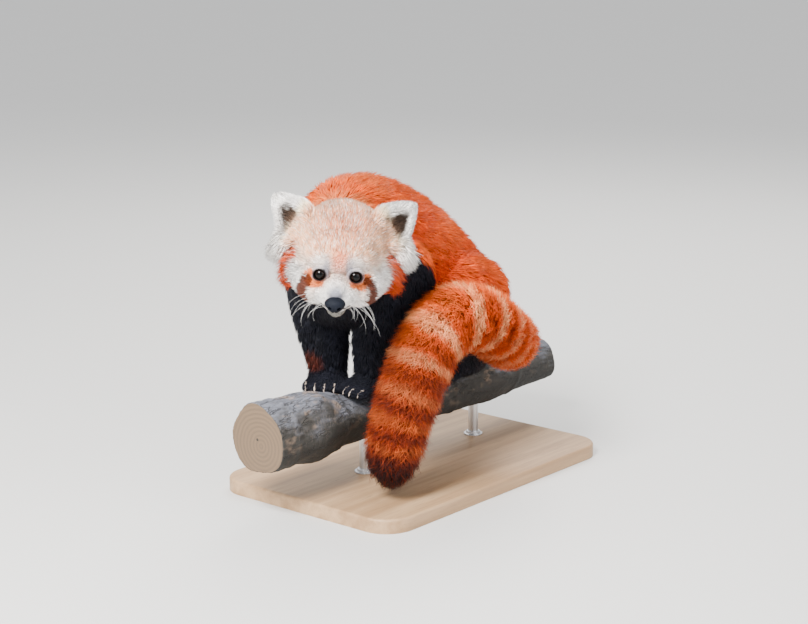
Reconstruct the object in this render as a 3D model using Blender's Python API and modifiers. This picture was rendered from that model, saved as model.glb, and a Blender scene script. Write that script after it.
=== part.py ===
"""A life-size red panda sitting on a cut branch, held up by a plain display stand.

Metres, +Z up. The animal sits along the branch, which lies along Y, with its tail at +Y and its
left side at +X. The origin is the centre of the stand's underside.
"""

import math
import random

import bmesh
import bpy
from mathutils import Matrix, Vector
from mathutils.bvhtree import BVHTree

GAP = 0.0003
# Faces that meet flatter than this are merged at the end.
FLATNESS = math.radians(1.5)
SAME_PLACE, DRAW, SPARE = 0.0000002, 0.00004, 0.004

BASE_LENGTH, BASE_WIDTH, BASE_THICKNESS = 0.40, 0.26, 0.016
BASE_CORNER, BASE_EDGE = 0.035, 0.003
ROD_RADIUS = 0.006
ROD_FRONT_Y, ROD_REAR_Y = 0.035, 0.235

PERCH_TOP = 0.120
PERCH_FRONT, PERCH_REAR = -0.135, 0.370
THICK_RADIUS, SLIM_RADIUS, KNOT_RISE = 0.0375, 0.0290, 0.0035
PAWS_X, PAWS_Y = -0.012, -0.115

# How far the tips of the coat stand above the flesh that carries them.
BODY_COAT, TAIL_COAT = 0.008, 0.009
# Length, width and standing height of each size of lock.
BODY_LOCK = (0.062, 0.037, 0.0100)
TAIL_LOCK = (0.054, 0.034, 0.0105)
RUFF_LOCK = (0.033, 0.019, 0.0110)
TUFT_LOCK = (0.029, 0.012, 0.0100)
LOCK_SINK = 0.005

HEAD_CENTRE = (0.062, -0.071, 0.1700)
HEAD_YAW, HEAD_PITCH, HEAD_ROLL = math.radians(38), math.radians(10), math.radians(4)
HEAD_BACK, HEAD_REACH = -0.024, 0.085
EYE_SIDE, EYE_FORWARD, EYE_UP = 0.0182, 0.0445, -0.0035
EYE_RADIUS, LID_THICKNESS = 0.0078, 0.0017
EAR_HEIGHT, EAR_WIDTH, EAR_DEPTH, EAR_LEAN = 0.050, 0.029, 0.013, math.radians(50)
NOSE_FORWARD, NOSE_UP = 0.0765, -0.0208
LIP_RADIUS, MOUTH_RADIUS = 0.0020, 0.0009

FOREPAW_LENGTH, FOREPAW_WIDTH = 0.056, 0.046
HINDPAW_LENGTH, HINDPAW_WIDTH = 0.066, 0.044
CLAW_REACH = 0.0135

RUST = (0.62, 0.13, 0.03)
BLACK = (0.012, 0.010, 0.012)
CREAM = (0.80, 0.68, 0.60)
WHITE = (0.86, 0.83, 0.80)
TAIL_RED = (0.55, 0.14, 0.045)
BARK = (0.20, 0.16, 0.12)
OAK = (0.30, 0.19, 0.10)
STEEL = (0.45, 0.45, 0.46)


def at(x, y, z):
    """A point given from the front paws' place on top of the branch: left, back and up."""
    return Vector((x + PAWS_X, y + PAWS_Y, z + PERCH_TOP))


class Frame:
    """A place and a facing on the animal, whose points are given left, forward and up."""

    def __init__(self, centre, yaw, pitch=0.0, roll=0.0):
        turn = Matrix.Rotation(yaw, 4, "Z") @ Matrix.Rotation(pitch, 4, "X")
        self.turn = turn @ Matrix.Rotation(roll, 4, "Y")
        self.place = Matrix.Translation(centre) @ self.turn

    def at(self, left, forward, up):
        return self.place @ Vector((left, -forward, up))

    def along(self, left, forward, up):
        return (self.turn.to_3x3() @ Vector((left, -forward, up))).normalized()


HEAD = Frame(at(*HEAD_CENTRE), HEAD_YAW, HEAD_PITCH, HEAD_ROLL)

TRUNK = (
    (at(0.008, -0.018, 0.140), 0.060, 0.064),
    (at(-0.010, 0.025, 0.160), 0.072, 0.084),
    (at(-0.018, 0.085, 0.142), 0.076, 0.086),
    (at(-0.016, 0.135, 0.110), 0.078, 0.084),
    (at(-0.010, 0.180, 0.072), 0.076, 0.078),
    (at(-0.002, 0.205, 0.048), 0.068, 0.066),
)
NECK = (
    (at(-0.008, 0.015, 0.165), 0.068, 0.066),
    (at(0.022, -0.025, 0.165), 0.060, 0.058),
    (at(0.048, -0.056, 0.163), 0.052, 0.050),
)
FORELEGS = {
    "foreleg_left": (
        (at(0.040, 0.046, 0.130), 0.043, 0.046),
        (at(0.030, 0.032, 0.080), 0.034, 0.034),
        (at(0.026, 0.026, 0.040), 0.027, 0.027),
        (at(0.026, 0.024, 0.018), 0.023, 0.023),
    ),
    "foreleg_right": (
        (at(-0.044, 0.014, 0.130), 0.045, 0.046),
        (at(-0.040, 0.009, 0.085), 0.036, 0.035),
        (at(-0.033, 0.009, 0.040), 0.027, 0.027),
        (at(-0.030, 0.009, 0.018), 0.023, 0.023),
    ),
}
# Each hind leg's hip, knee, heel and ankle.
HINDLEGS = {
    "hindleg_left": (at(0.036, 0.195, 0.080), at(0.050, 0.112, 0.074), at(0.042, 0.180, 0.012),
                     at(0.038, 0.158, 0.004)),
    "hindleg_right": (at(-0.052, 0.210, 0.076), at(-0.074, 0.132, 0.070), at(-0.052, 0.204, 0.012),
                      at(-0.044, 0.182, 0.002)),
}
TAIL = (
    (at(0.010, 0.222, 0.044), 0.034),
    (at(0.052, 0.236, 0.028), 0.033),
    (at(0.084, 0.198, 0.032), 0.033),
    (at(0.106, 0.150, 0.054), 0.036),
    (at(0.114, 0.102, 0.080), 0.038),
    (at(0.112, 0.060, 0.089), 0.039),
    (at(0.106, 0.025, 0.068), 0.038),
    (at(0.099, -0.005, 0.010), 0.037),
    (at(0.092, -0.018, -0.042), 0.034),
    (at(0.090, -0.020, -0.066), 0.026),
)
# Where the tail is cut across into its lengths, and the way it runs there.
TAIL_CUTS = {
    "tail_arch": (at(0.095, 0.174, 0.043), Vector((0.3, -0.85, 0.42))),
    "tail_middle": (at(0.110, 0.045, 0.085), Vector((-0.1, -0.80, -0.5))),
    "tail_tip": (at(0.096, -0.010, -0.012), Vector((-0.1, -0.25, -0.95))),
}
PAWS = {
    "forepaw_left": (at(0.026, 0.022, -0.002), math.radians(-20), FOREPAW_LENGTH, FOREPAW_WIDTH),
    "forepaw_right": (at(-0.027, 0.006, -0.001), math.radians(34), FOREPAW_LENGTH, FOREPAW_WIDTH),
    "hindpaw_left": (at(0.032, 0.142, -0.010), math.radians(8), HINDPAW_LENGTH, HINDPAW_WIDTH),
    "hindpaw_right": (at(-0.036, 0.166, -0.010), math.radians(-8), HINDPAW_LENGTH, HINDPAW_WIDTH),
}


def clear_scene():
    for obj in list(bpy.data.objects):
        bpy.data.objects.remove(obj)


def material(name, colour, roughness, metallic=0.0):
    made = bpy.data.materials.new(name)
    made.use_nodes = True
    shader = made.node_tree.nodes["Principled BSDF"]
    shader.inputs["Base Color"].default_value = (*colour, 1)
    shader.inputs["Roughness"].default_value = roughness
    shader.inputs["Metallic"].default_value = metallic
    return made


def link(name, mesh):
    obj = bpy.data.objects.new(name, mesh)
    MODEL.objects.link(obj)
    return obj


def from_bmesh(name, bm):
    """An object of triangles, which are flat however a later step reads them."""
    bmesh.ops.recalc_face_normals(bm, faces=bm.faces)
    bmesh.ops.triangulate(bm, faces=bm.faces)
    mesh = bpy.data.meshes.new(name)
    bm.to_mesh(mesh)
    bm.free()
    return link(name, mesh)


def apply_modifiers(obj):
    bpy.context.view_layer.update()
    graph = bpy.context.evaluated_depsgraph_get()
    mesh = bpy.data.meshes.new_from_object(obj.evaluated_get(graph))
    obj.modifiers.clear()
    old = obj.data
    obj.data = mesh
    bpy.data.meshes.remove(old)
    return obj


def ellipsoid(centre, radii, turn=None, segments=20, rings=12):
    bm = bmesh.new()
    bmesh.ops.create_uvsphere(bm, u_segments=segments, v_segments=rings, radius=1)
    shape = Matrix.Translation(centre) @ (turn or Matrix.Identity(4)) @ Matrix.Diagonal((*radii, 1))
    bmesh.ops.transform(bm, matrix=shape, verts=bm.verts)
    return from_bmesh("form", bm)


def path_frames(points):
    """For each point of a path, the directions across it, up from it and along it."""
    found = []
    for i, point in enumerate(points):
        along = (points[min(i + 1, len(points) - 1)] - points[max(i - 1, 0)]).normalized()
        level = Vector((along.x, along.y, 0))
        across = Vector((-along.y, along.x, 0)) if level.length > 0.2 else Vector((1, 0, 0))
        across = (across - across.dot(along) * along).normalized()
        found.append((point, across, across.cross(along), along))
    return found


def ring(point, across, up, wide, high, sides):
    angles = [2 * math.pi * k / sides for k in range(sides)]
    return [point + across * wide * math.cos(a) + up * high * math.sin(a) for a in angles]


def loft(rings):
    """A closed skin over rings of points. Its ends are capped, and the last may be a point."""
    bm = bmesh.new()
    rows = [[bm.verts.new(point) for point in points] for points in rings]
    for lower, upper in zip(rows, rows[1:]):
        for i in range(len(lower)):
            j = (i + 1) % len(lower)
            far = (upper[j], upper[i]) if len(upper) > 1 else upper
            bm.faces.new((lower[i], lower[j], *far))
    for row in (rows[0], rows[-1]):
        if len(row) > 1:
            bm.faces.new(row)
    return bm


def limb(stations, more=0.0, sides=20):
    """A round limb through stations of (centre, half width, half height), with rounded ends."""
    along = path_frames([centre for centre, _, _ in stations])
    sizes = [(wide + more, high + more) for _, wide, high in stations]
    rings = [ring(point, across, up, wide, high, sides)
             for (point, across, up, _), (wide, high) in zip(along, sizes)]
    forms = [from_bmesh("form", loft(rings))]
    for end in (0, -1):
        point, across, up, ahead = along[end]
        wide, high = sizes[end]
        turn = Matrix((across, up, ahead)).transposed().to_4x4()
        forms.append(ellipsoid(point, (wide, high, min(wide, high)), turn))
    return forms


def pipe(points, radius, sides):
    """A thin pipe along a path."""
    rings = [ring(point, across, up, radius, radius, sides)
             for point, across, up, _ in path_frames(points)]
    return from_bmesh("pipe", loft(rings))


def hull_round(stations, more, shift):
    """A convex block of few faces that holds all of a limb, moved over by the shift."""
    bm = bmesh.new()
    for centre, wide, high in stations:
        bmesh.ops.create_icosphere(bm, subdivisions=1, radius=1.2 * (max(wide, high) + more),
                                   matrix=Matrix.Translation(centre + shift))
    bmesh.ops.delete(bm, geom=bm.edges, context="EDGES_FACES")
    hull = bmesh.ops.convex_hull(bm, input=bm.verts)
    inner = [item for item in hull["geom_interior"] if isinstance(item, bmesh.types.BMVert)]
    bmesh.ops.delete(bm, geom=inner, context="VERTS")
    return from_bmesh("region", bm)


def joined(name, forms):
    """Several closed forms as one mesh of several shells."""
    bm = bmesh.new()
    for form in forms:
        bm.from_mesh(form.data)
        old = form.data
        bpy.data.objects.remove(form)
        bpy.data.meshes.remove(old)
    mesh = bpy.data.meshes.new(name)
    bm.to_mesh(mesh)
    bm.free()
    return link(name, mesh)


def fleshed(name, forms, voxel, smoothing, triangles):
    """Forms melted into one smooth closed skin of about that many triangles."""
    obj = joined(name, forms)
    melt = obj.modifiers.new("melt", "REMESH")
    melt.mode = "VOXEL"
    melt.voxel_size = voxel
    soften = obj.modifiers.new("soften", "SMOOTH")
    soften.factor = 0.5
    soften.iterations = smoothing
    keep_largest(apply_modifiers(obj))
    obj.data.calc_loop_triangles()
    thin = obj.modifiers.new("thin", "DECIMATE")
    thin.ratio = min(1.0, triangles / len(obj.data.loop_triangles))
    thin.use_collapse_triangulate = True
    return apply_modifiers(obj)


def volume_of(faces):
    total = 0.0
    for face in faces:
        first = face.verts[0].co
        for one, two in zip(face.verts[1:], face.verts[2:]):
            total += first.dot(one.co.cross(two.co))
    return total / 6


def keep_largest(obj):
    """Leaves only the closed surface that holds the most."""
    bm = bmesh.new()
    bm.from_mesh(obj.data)
    unseen, shells = set(bm.faces), []
    while unseen:
        shell, edge = set(), [unseen.pop()]
        while edge:
            face = edge.pop()
            shell.add(face)
            for other in (f for side in face.edges for f in side.link_faces):
                if other in unseen:
                    unseen.discard(other)
                    edge.append(other)
        shells.append(shell)
    shells.sort(key=volume_of, reverse=True)
    loose = [face for shell in shells[1:] for face in shell]
    bmesh.ops.delete(bm, geom=loose, context="FACES")
    bm.to_mesh(obj.data)
    bm.free()
    return obj


def combine(target, others, operation, solver="MANIFOLD"):
    """One Boolean of the target with several closed meshes, applied, and the others removed."""
    group = bpy.data.collections.new("operands")
    bpy.context.scene.collection.children.link(group)
    for other in others:
        MODEL.objects.unlink(other)
        group.objects.link(other)
    step = target.modifiers.new("combine", "BOOLEAN")
    step.operation = operation
    step.solver = solver
    step.operand_type = "COLLECTION"
    step.collection = group
    apply_modifiers(target)
    for other in others:
        bpy.data.objects.remove(other)
    bpy.data.collections.remove(group)
    return keep_largest(target)


def copied(obj, by=0.0):
    """A copy of a node, larger all round by that much."""
    bm = bmesh.new()
    bm.from_mesh(obj.data)
    bmesh.ops.triangulate(bm, faces=bm.faces)
    bm.normal_update()
    moved = []
    for vert in bm.verts:
        ways = [face.normal * face.calc_area() for face in vert.link_faces]
        moved.append(vert.co + by * sum(ways, Vector((0, 0, 0))).normalized())
    for vert, place in zip(bm.verts, moved):
        vert.co = place
    mesh = bpy.data.meshes.new("copied")
    bm.to_mesh(mesh)
    bm.free()
    return link("copied", mesh)


def clear_of(target, *neighbours):
    """Cuts the target clear of its neighbours by the gap."""
    for neighbour in neighbours:
        combine(target, [copied(neighbour, GAP)], "DIFFERENCE")
        combine(target, [copied(neighbour)], "DIFFERENCE")
    return target


def part_off(whole, name, region):
    """Takes what lies in the region off the whole, as a node that meets the rest face to face."""
    piece = link(name, whole.data.copy())
    cutter = copied(region, GAP)
    combine(piece, [region], "INTERSECT")
    combine(whole, [cutter], "DIFFERENCE")
    return piece


def draw_apart(bm):
    """Moves corners that lie at one place apart, each into its own wall, so that no walls touch."""
    pairs = bmesh.ops.find_doubles(bm, verts=bm.verts, dist=SAME_PLACE)["targetmap"]
    for vert in {*pairs.keys(), *pairs.values()}:
        around = [edge.other_vert(vert).co for edge in vert.link_edges]
        middle = sum(around, Vector((0, 0, 0))) / len(around)
        vert.co += (middle - vert.co).normalized() * DRAW


def is_idle(vert, troubled, reach):
    """Whether a corner only bends the edge of two faces, and hardly does so or lies by trouble."""
    if len(vert.link_edges) != 2:
        return False
    one, two = (edge.other_vert(vert).co for edge in vert.link_edges)
    along = (two - one).normalized()
    aside = (vert.co - one) - (vert.co - one).dot(along) * along
    return aside.length < GAP / 6 or not is_clear(vert, troubled, reach)


def is_clear(vert, places, reach):
    return all((vert.co - place).length > reach for place in places)


def open_places(bm):
    """Where an edge doesn't join just two faces, once corners at one place are one corner."""
    welded = bm.copy()
    bmesh.ops.remove_doubles(welded, verts=welded.verts, dist=SAME_PLACE)
    bad = [edge for edge in welded.edges if len(edge.link_faces) != 2]
    found = [edge.verts[0].co.lerp(edge.verts[1].co, share) for edge in bad for share in (0, 0.5, 1)]
    welded.free()
    return found


def fewer_faces(obj):
    """Merges a node's flat faces and makes triangles, with care where that would open it."""
    troubled = []
    for turn in range(10):
        quads, others = (("BEAUTY", "BEAUTY"), ("FIXED", "EAR_CLIP"))[turn % 2]
        reach = SPARE * (1 + turn)
        bm = bmesh.new()
        bm.from_mesh(obj.data)
        draw_apart(bm)
        verts = [vert for vert in bm.verts if is_clear(vert, troubled, reach)]
        edges = [edge for edge in bm.edges if is_clear(edge.verts[0], troubled, reach)]
        bmesh.ops.dissolve_limit(bm, angle_limit=FLATNESS, verts=verts, edges=edges)
        idle = [vert for vert in bm.verts if is_idle(vert, troubled, reach)]
        bmesh.ops.dissolve_verts(bm, verts=idle)
        bmesh.ops.triangulate(bm, faces=bm.faces, quad_method=quads, ngon_method=others)
        opened = open_places(bm)
        if not opened:
            bm.to_mesh(obj.data)
        bm.free()
        if not opened:
            return
        troubled += opened
    raise ValueError(obj.name + " can't be closed")


def finish(obj, name, coat):
    """Names and colours a node, with no more faces than it needs."""
    fewer_faces(obj)
    obj.name = name
    obj.data.name = name
    obj.data.materials.clear()
    obj.data.materials.append(coat)
    obj.data.shade_smooth()
    obj.data.set_sharp_from_angle(angle=math.radians(40))
    return obj


def surface_of(obj):
    bm = bmesh.new()
    bm.from_mesh(obj.data)
    tree = BVHTree.FromBMesh(bm)
    bm.free()
    return tree


def lock(surface, root, lie, size, chance):
    """A flat tapered lock, sunk at its root, which bends along the surface in the coat's lie."""
    length, width, stand = (value * chance.uniform(0.85, 1.15) for value in size)
    swerve = chance.uniform(-0.25, 0.25)
    outline = ((0.0, 0.75), (0.38, 1.0), (0.76, 0.66), (1.0, 0.0))
    rings, place, last = [], root, 0.0
    for share, fullness in outline:
        spot, normal = surface.find_nearest(place)[:2]
        heading = lie(spot)
        heading = (heading - heading.dot(normal) * normal).normalized()
        across = normal.cross(heading)
        heading = (heading + swerve * share * across).normalized()
        place = spot + heading * length * (share - last)
        last = share
        if rings:
            spot, normal = surface.find_nearest(place)[:2]
        centre = spot + normal * (stand * share ** 0.7 - LOCK_SINK * (1 - share))
        half, thick = 0.5 * width * fullness, 0.16 * width * fullness
        rings.append([centre - across * half, centre + across * half, centre + normal * thick])
    rings[-1] = [centre]
    return from_bmesh("lock", loft(rings))


def scatter(obj, spacing, wanted, chance):
    """Points spread evenly and at random over the surface where they are wanted."""
    obj.data.calc_loop_triangles()
    corners = [vert.co for vert in obj.data.vertices]
    triangles = obj.data.loop_triangles
    tries = chance.choices(triangles, [t.area for t in triangles], k=6000)
    kept = []
    for triangle in tries:
        one, two, three = (corners[i] for i in triangle.vertices)
        u, v = sorted((chance.random(), chance.random()))
        point = one * u + two * (v - u) + three * (1 - v)
        if wanted(point, triangle.normal) and all((point - old).length > spacing for old in kept):
            kept.append(point)
    return kept


def distance_to_path(point, stations):
    """How far a point is from the nearest of a limb's stations, less the limb's radius there."""
    return min((point - station[0]).length - station[1] for station in stations)


def body_lie(spot):
    """The body's coat lies backwards over the back and falls down the flanks and haunches."""
    aside = (spot.x - PAWS_X) / 0.08
    low = max(0.0, PERCH_TOP + 0.15 - spot.z) / 0.10
    return Vector((0.35 * aside, 1.0 - 0.3 * low, -0.35 - 0.8 * abs(aside) - 0.5 * low))


def tail_lie(spot):
    """The tail's coat lies along it towards the tip."""
    frames = path_frames([centre for centre, _ in TAIL])
    return min(frames, key=lambda frame: (spot - frame[0]).length)[3]


def wants_body_lock(point, normal):
    """Locks cover the back, flanks and haunches, and leave the face's, legs' and tail's room."""
    level = point.z - PERCH_TOP
    ahead = (HEAD.place.inverted() @ point).y
    on_leg = min(distance_to_path(point, stations[1:]) for stations in FORELEGS.values())
    by_tail = distance_to_path(point, TAIL)
    return (level > 0.035 and normal.z > -0.35 and -ahead < HEAD_BACK - 0.012 and on_leg > 0.020
            and by_tail > 0.016 and not (normal.y < -0.55 and level < 0.16))


def body_locks(body):
    chance = random.Random(11)
    surface = surface_of(body)
    roots = scatter(body, 0.031, wants_body_lock, chance)
    return [lock(surface, root, body_lie, BODY_LOCK, chance) for root in roots]


def tail_locks(tail):
    chance = random.Random(23)
    surface = surface_of(tail)
    start = TAIL[2][0]

    def wanted(point, normal):
        return (point - start).length > 0.030 and point.y > -0.40

    roots = scatter(tail, 0.0285, wanted, chance)
    return [lock(surface, root, tail_lie, TAIL_LOCK, chance) for root in roots]


def build_base(oak):
    bm = bmesh.new()
    bmesh.ops.create_cube(bm, size=1)
    size = Matrix.Diagonal((BASE_WIDTH, BASE_LENGTH, BASE_THICKNESS, 1))
    raise_up = Matrix.Translation((0, 0, BASE_THICKNESS / 2))
    bmesh.ops.transform(bm, matrix=raise_up @ size, verts=bm.verts)
    upright = [e for e in bm.edges if abs(e.verts[0].co.z - e.verts[1].co.z) > BASE_THICKNESS / 2]
    bmesh.ops.bevel(bm, geom=upright, offset=BASE_CORNER, segments=6, profile=0.5,
                    affect="EDGES", material=-1)
    rim = [e for e in bm.edges if all(v.co.z > BASE_THICKNESS * 0.9 for v in e.verts)]
    bmesh.ops.bevel(bm, geom=rim, offset=BASE_EDGE, segments=2, profile=0.5,
                    affect="EDGES", material=-1)
    return finish(from_bmesh("stand_base", bm), "stand_base", oak)


def perch_radius(y):
    """The branch's radius: thick in front of the paws, with a knot there, and slimmer behind."""
    thick = 1 / (1 + math.exp((y + 0.028) / 0.012))
    knot = KNOT_RISE * math.exp(-((y + 0.062) / 0.022) ** 2)
    return SLIM_RADIUS + (THICK_RADIUS - SLIM_RADIUS) * thick + knot + 0.0010 * math.sin(31 * y)


def perch_axis(y):
    """The branch's centre line."""
    rise = 0.0045 / (1 + math.exp((y + 0.020) / 0.020))
    return at(0.003 * math.sin(9 * y), y, -0.0330 + rise - 0.008 * y)


def build_perch(bark):
    rows, sides = 20, 16
    rings = []
    for row in range(rows + 1):
        y = PERCH_FRONT + (PERCH_REAR - PERCH_FRONT) * row / rows
        centre, radius = perch_axis(y), perch_radius(y)
        radius *= (0.86, 0.97, 1.0)[min(row, rows - row, 2)]
        points = []
        for k in range(sides):
            angle = 2 * math.pi * k / sides
            lump = 1 + 0.035 * math.sin(3 * angle + 25 * y) + 0.025 * math.sin(5 * angle - 40 * y)
            points.append(centre + radius * lump * Vector((math.cos(angle), 0, math.sin(angle))))
        rings.append(points)
    return finish(from_bmesh("perch", loft(rings)), "perch", bark)


def build_rod(name, y, perch, steel):
    """A rod from the base's top up to the branch's underside, shaped to it."""
    top = perch_axis(y).z
    foot = BASE_THICKNESS + GAP
    bm = bmesh.new()
    bmesh.ops.create_cone(bm, cap_ends=True, segments=16, radius1=ROD_RADIUS, radius2=ROD_RADIUS,
                          depth=top - foot)
    place = Matrix.Translation((perch_axis(y).x, y + PAWS_Y, (top + foot) / 2))
    bmesh.ops.transform(bm, matrix=place, verts=bm.verts)
    rod = clear_of(from_bmesh(name, bm), perch)
    return finish(rod, name, steel)


def hindleg_stations(hip, knee, heel, ankle):
    """A folded hind leg: the thigh runs forward to the knee and the shank back to the heel."""
    lifted = (hip + knee) / 2 + Vector((0, 0, 0.010))
    thigh = ((hip, 0.042, 0.048), (lifted, 0.040, 0.054), (knee, 0.031, 0.036))
    shank = ((knee, 0.029, 0.029), ((knee + heel) / 2, 0.024, 0.026), (heel, 0.022, 0.022),
             (ankle, 0.020, 0.018))
    return thigh, shank


def toe_tip(toe, length, width):
    """Where a toe ends in its paw's frame. Toe 2 is the middle one and reaches furthest."""
    spread = (toe - 2) / 2
    return spread * width * 0.47, length * (0.60 - 0.12 * spread ** 2), 0.005


def paw_forms(frame, length, width):
    forms = [ellipsoid(frame.at(0, 0.1 * length, 0.010), (width * 0.50, length * 0.42, 0.015),
                       frame.turn)]
    for toe in range(5):
        left, forward, up = toe_tip(toe, length, width)
        root = frame.at(0.64 * left, 0.33 * forward, 0.010)
        forms += limb(((root, 0.0075, 0.0075), (frame.at(left, forward, up), 0.0068, 0.0062)),
                      sides=10)
    return forms


def claw(frame, toe, length, width):
    """A curved claw, which leaves its toe forwards and hooks down."""
    left, forward, up = toe_tip(toe, length, width)
    radii = (0.0020, 0.0018, 0.0013, 0.0)
    rings = []
    for step, radius in enumerate(radii):
        share = step / (len(radii) - 1)
        bend = math.radians(20 + 62 * share)
        reach = CLAW_REACH * share
        centre = Vector((left, forward + reach * math.sin(bend),
                         up + 0.0045 - reach * (1 - math.cos(bend))))
        points = ring(centre, Vector((1, 0, 0)), Vector((0, 0.5, 0.87)), radius, radius, 4)
        rings.append([frame.at(*point) for point in points])
    rings[-1] = rings[-1][:1]
    return from_bmesh("claw", loft(rings))


def build_paw(name, perch, coat):
    centre, bearing, length, width = PAWS[name]
    frame = Frame(centre, bearing)
    paw = fleshed(name, paw_forms(frame, length, width), 0.0022, 3, 190)
    combine(paw, [claw(frame, toe, length, width) for toe in range(5)], "UNION")
    return finish(clear_of(paw, perch), name, coat)


def head_forms():
    """The skull, brow, face, muzzle, nose bridge, jaw and cheeks, in the head's frame."""
    shapes = [
        ((0, -0.012, 0.010), (0.052, 0.054, 0.050)),
        ((0, 0.020, 0.014), (0.040, 0.032, 0.030)),
        ((0, 0.000, -0.008), (0.061, 0.042, 0.040)),
        ((0, 0.041, -0.021), (0.0275, 0.034, 0.0200)),
        ((0, 0.053, -0.012), (0.0140, 0.024, 0.0120)),
        ((0, 0.039, -0.035), (0.0205, 0.027, 0.0115)),
    ]
    for side in (-1, 1):
        shapes.append(((side * 0.031, -0.003, -0.016), (0.033, 0.036, 0.036)))
        shapes.append(((side * 0.021, 0.022, -0.020), (0.026, 0.028, 0.024)))
    return [ellipsoid(HEAD.at(*centre), radii, HEAD.turn) for centre, radii in shapes]


def mouth_path(surface):
    """The line between the lips, from one corner round the front of the muzzle to the other."""
    points = []
    for step in range(-3, 4):
        angle = math.radians(28 * step)
        guess = HEAD.at(0.027 * math.sin(angle), 0.032 + 0.050 * math.cos(angle),
                        -0.0325 + 0.0020 * math.cos(2 * angle))
        points.append(surface.find_nearest(guess)[0])
    return points


def lid_opening(side, eye):
    """The almond gap between the lids, which lets the eye show."""
    outward = Matrix.Rotation(side * math.radians(18), 4, "Z")
    slant = Matrix.Rotation(side * math.radians(8), 4, "Y")
    turn = HEAD.turn @ outward @ slant
    ahead = turn.to_3x3() @ Vector((0, -EYE_RADIUS, 0))
    radii = (EYE_RADIUS * 0.94, EYE_RADIUS * 1.2, EYE_RADIUS * 0.72)
    return ellipsoid(eye + ahead, radii, turn, 10, 6)


def build_head(eyes, nose, coat):
    """The face with its lids, lips and mouth line, its ruff and the tufts under its ears."""
    head = fleshed("head", head_forms(), 0.003, 9, 720)
    surface = surface_of(head)
    line = mouth_path(surface)
    lids = [ellipsoid(HEAD.at(side * EYE_SIDE, EYE_FORWARD, EYE_UP),
                      (EYE_RADIUS + LID_THICKNESS,) * 3, HEAD.turn, 10, 8) for side in (-1, 1)]
    combine(head, lids + [pipe(line, LIP_RADIUS, 5)] + ruff_locks(surface), "UNION")
    ahead = HEAD.along(0, 1, -0.3)
    gaps = [lid_opening(side, HEAD.at(side * EYE_SIDE, EYE_FORWARD, EYE_UP)) for side in (-1, 1)]
    gaps.append(pipe([point + ahead * LIP_RADIUS for point in line], MOUTH_RADIUS, 4))
    gaps.append(block_behind_head(GAP))
    combine(head, gaps, "DIFFERENCE")
    return finish(clear_of(head, *eyes, nose), "head", coat)


def ruff_locks(surface):
    """Locks round the cheeks from below each ear to the throat, and a tuft under each ear."""
    chance = random.Random(5)
    locks = []
    for side in (-1, 1):
        for step in range(6):
            angle = math.radians(8 - 18 * step)
            out = HEAD.along(side * math.cos(angle), -0.45, math.sin(angle) - 0.25)
            guess = HEAD.at(side * 0.08 * math.cos(angle), 0.012, -0.010 + 0.08 * math.sin(angle))
            locks.append(lock(surface, guess, lambda spot: out, RUFF_LOCK, chance))
        for step in range(3):
            out = HEAD.along(side * 0.8, -0.1, -0.9 + 0.25 * step)
            guess = HEAD.at(side * 0.07, -0.012 + 0.007 * step, 0.022 - 0.007 * step)
            locks.append(lock(surface, guess, lambda spot: out, TUFT_LOCK, chance))
    return locks


def build_eye(name, side, gloss):
    centre = HEAD.at(side * EYE_SIDE, EYE_FORWARD, EYE_UP)
    return finish(ellipsoid(centre, (EYE_RADIUS,) * 3, HEAD.turn, 12, 8), name, gloss)


def build_nose(leather):
    """The nose pad with its two nostrils."""
    nose = ellipsoid(HEAD.at(0, NOSE_FORWARD, NOSE_UP), (0.0100, 0.0080, 0.0082), HEAD.turn, 12, 8)
    nostrils = [ellipsoid(HEAD.at(side * 0.0046, NOSE_FORWARD + 0.0070, NOSE_UP - 0.0005),
                          (0.0020, 0.0030, 0.0015), HEAD.turn, 8, 6) for side in (-1, 1)]
    return finish(combine(nose, nostrils, "DIFFERENCE"), "nose", leather)


def ear_shell(side, wide, deep, high, forward, segments, rings):
    """A leaf-shaped ear, broad at its root and narrowing to a rounded tip, out to that side."""
    bm = bmesh.new()
    bmesh.ops.create_uvsphere(bm, u_segments=segments, v_segments=rings, radius=1)
    for vert in bm.verts:
        vert.co.x *= 1 - 0.42 * vert.co.z
    size = Matrix.Diagonal((wide, deep, high, 1))
    root = Matrix.Translation((side * 0.040, 0.010, 0.026))
    lean = Matrix.Rotation(side * EAR_LEAN, 4, "Y") @ Matrix.Rotation(math.radians(-8), 4, "X")
    turn_out = Matrix.Rotation(side * math.radians(14), 4, "Z")
    lift = Matrix.Translation((0, -forward, EAR_HEIGHT * 0.42))
    bmesh.ops.transform(bm, matrix=HEAD.place @ root @ turn_out @ lean @ lift @ size, verts=bm.verts)
    return from_bmesh("ear", bm)


def build_ear(name, side, head, coat):
    ear = ear_shell(side, EAR_WIDTH, EAR_DEPTH, EAR_HEIGHT * 0.62, 0.0, 12, 7)
    cup = ear_shell(side, EAR_WIDTH * 0.70, EAR_DEPTH, EAR_HEIGHT * 0.46, EAR_DEPTH * 0.95, 9, 6)
    combine(ear, [cup], "DIFFERENCE")
    return finish(clear_of(ear, head), name, coat)


def block_behind_head(ahead):
    """A block whose flat face meets the back of the head."""
    bm = bmesh.new()
    bmesh.ops.create_cube(bm, size=2 * HEAD_REACH)
    place = HEAD.place @ Matrix.Translation((0, HEAD_REACH - HEAD_BACK - ahead, 0))
    bmesh.ops.transform(bm, matrix=place, verts=bm.verts)
    return from_bmesh("block", bm)


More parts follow.
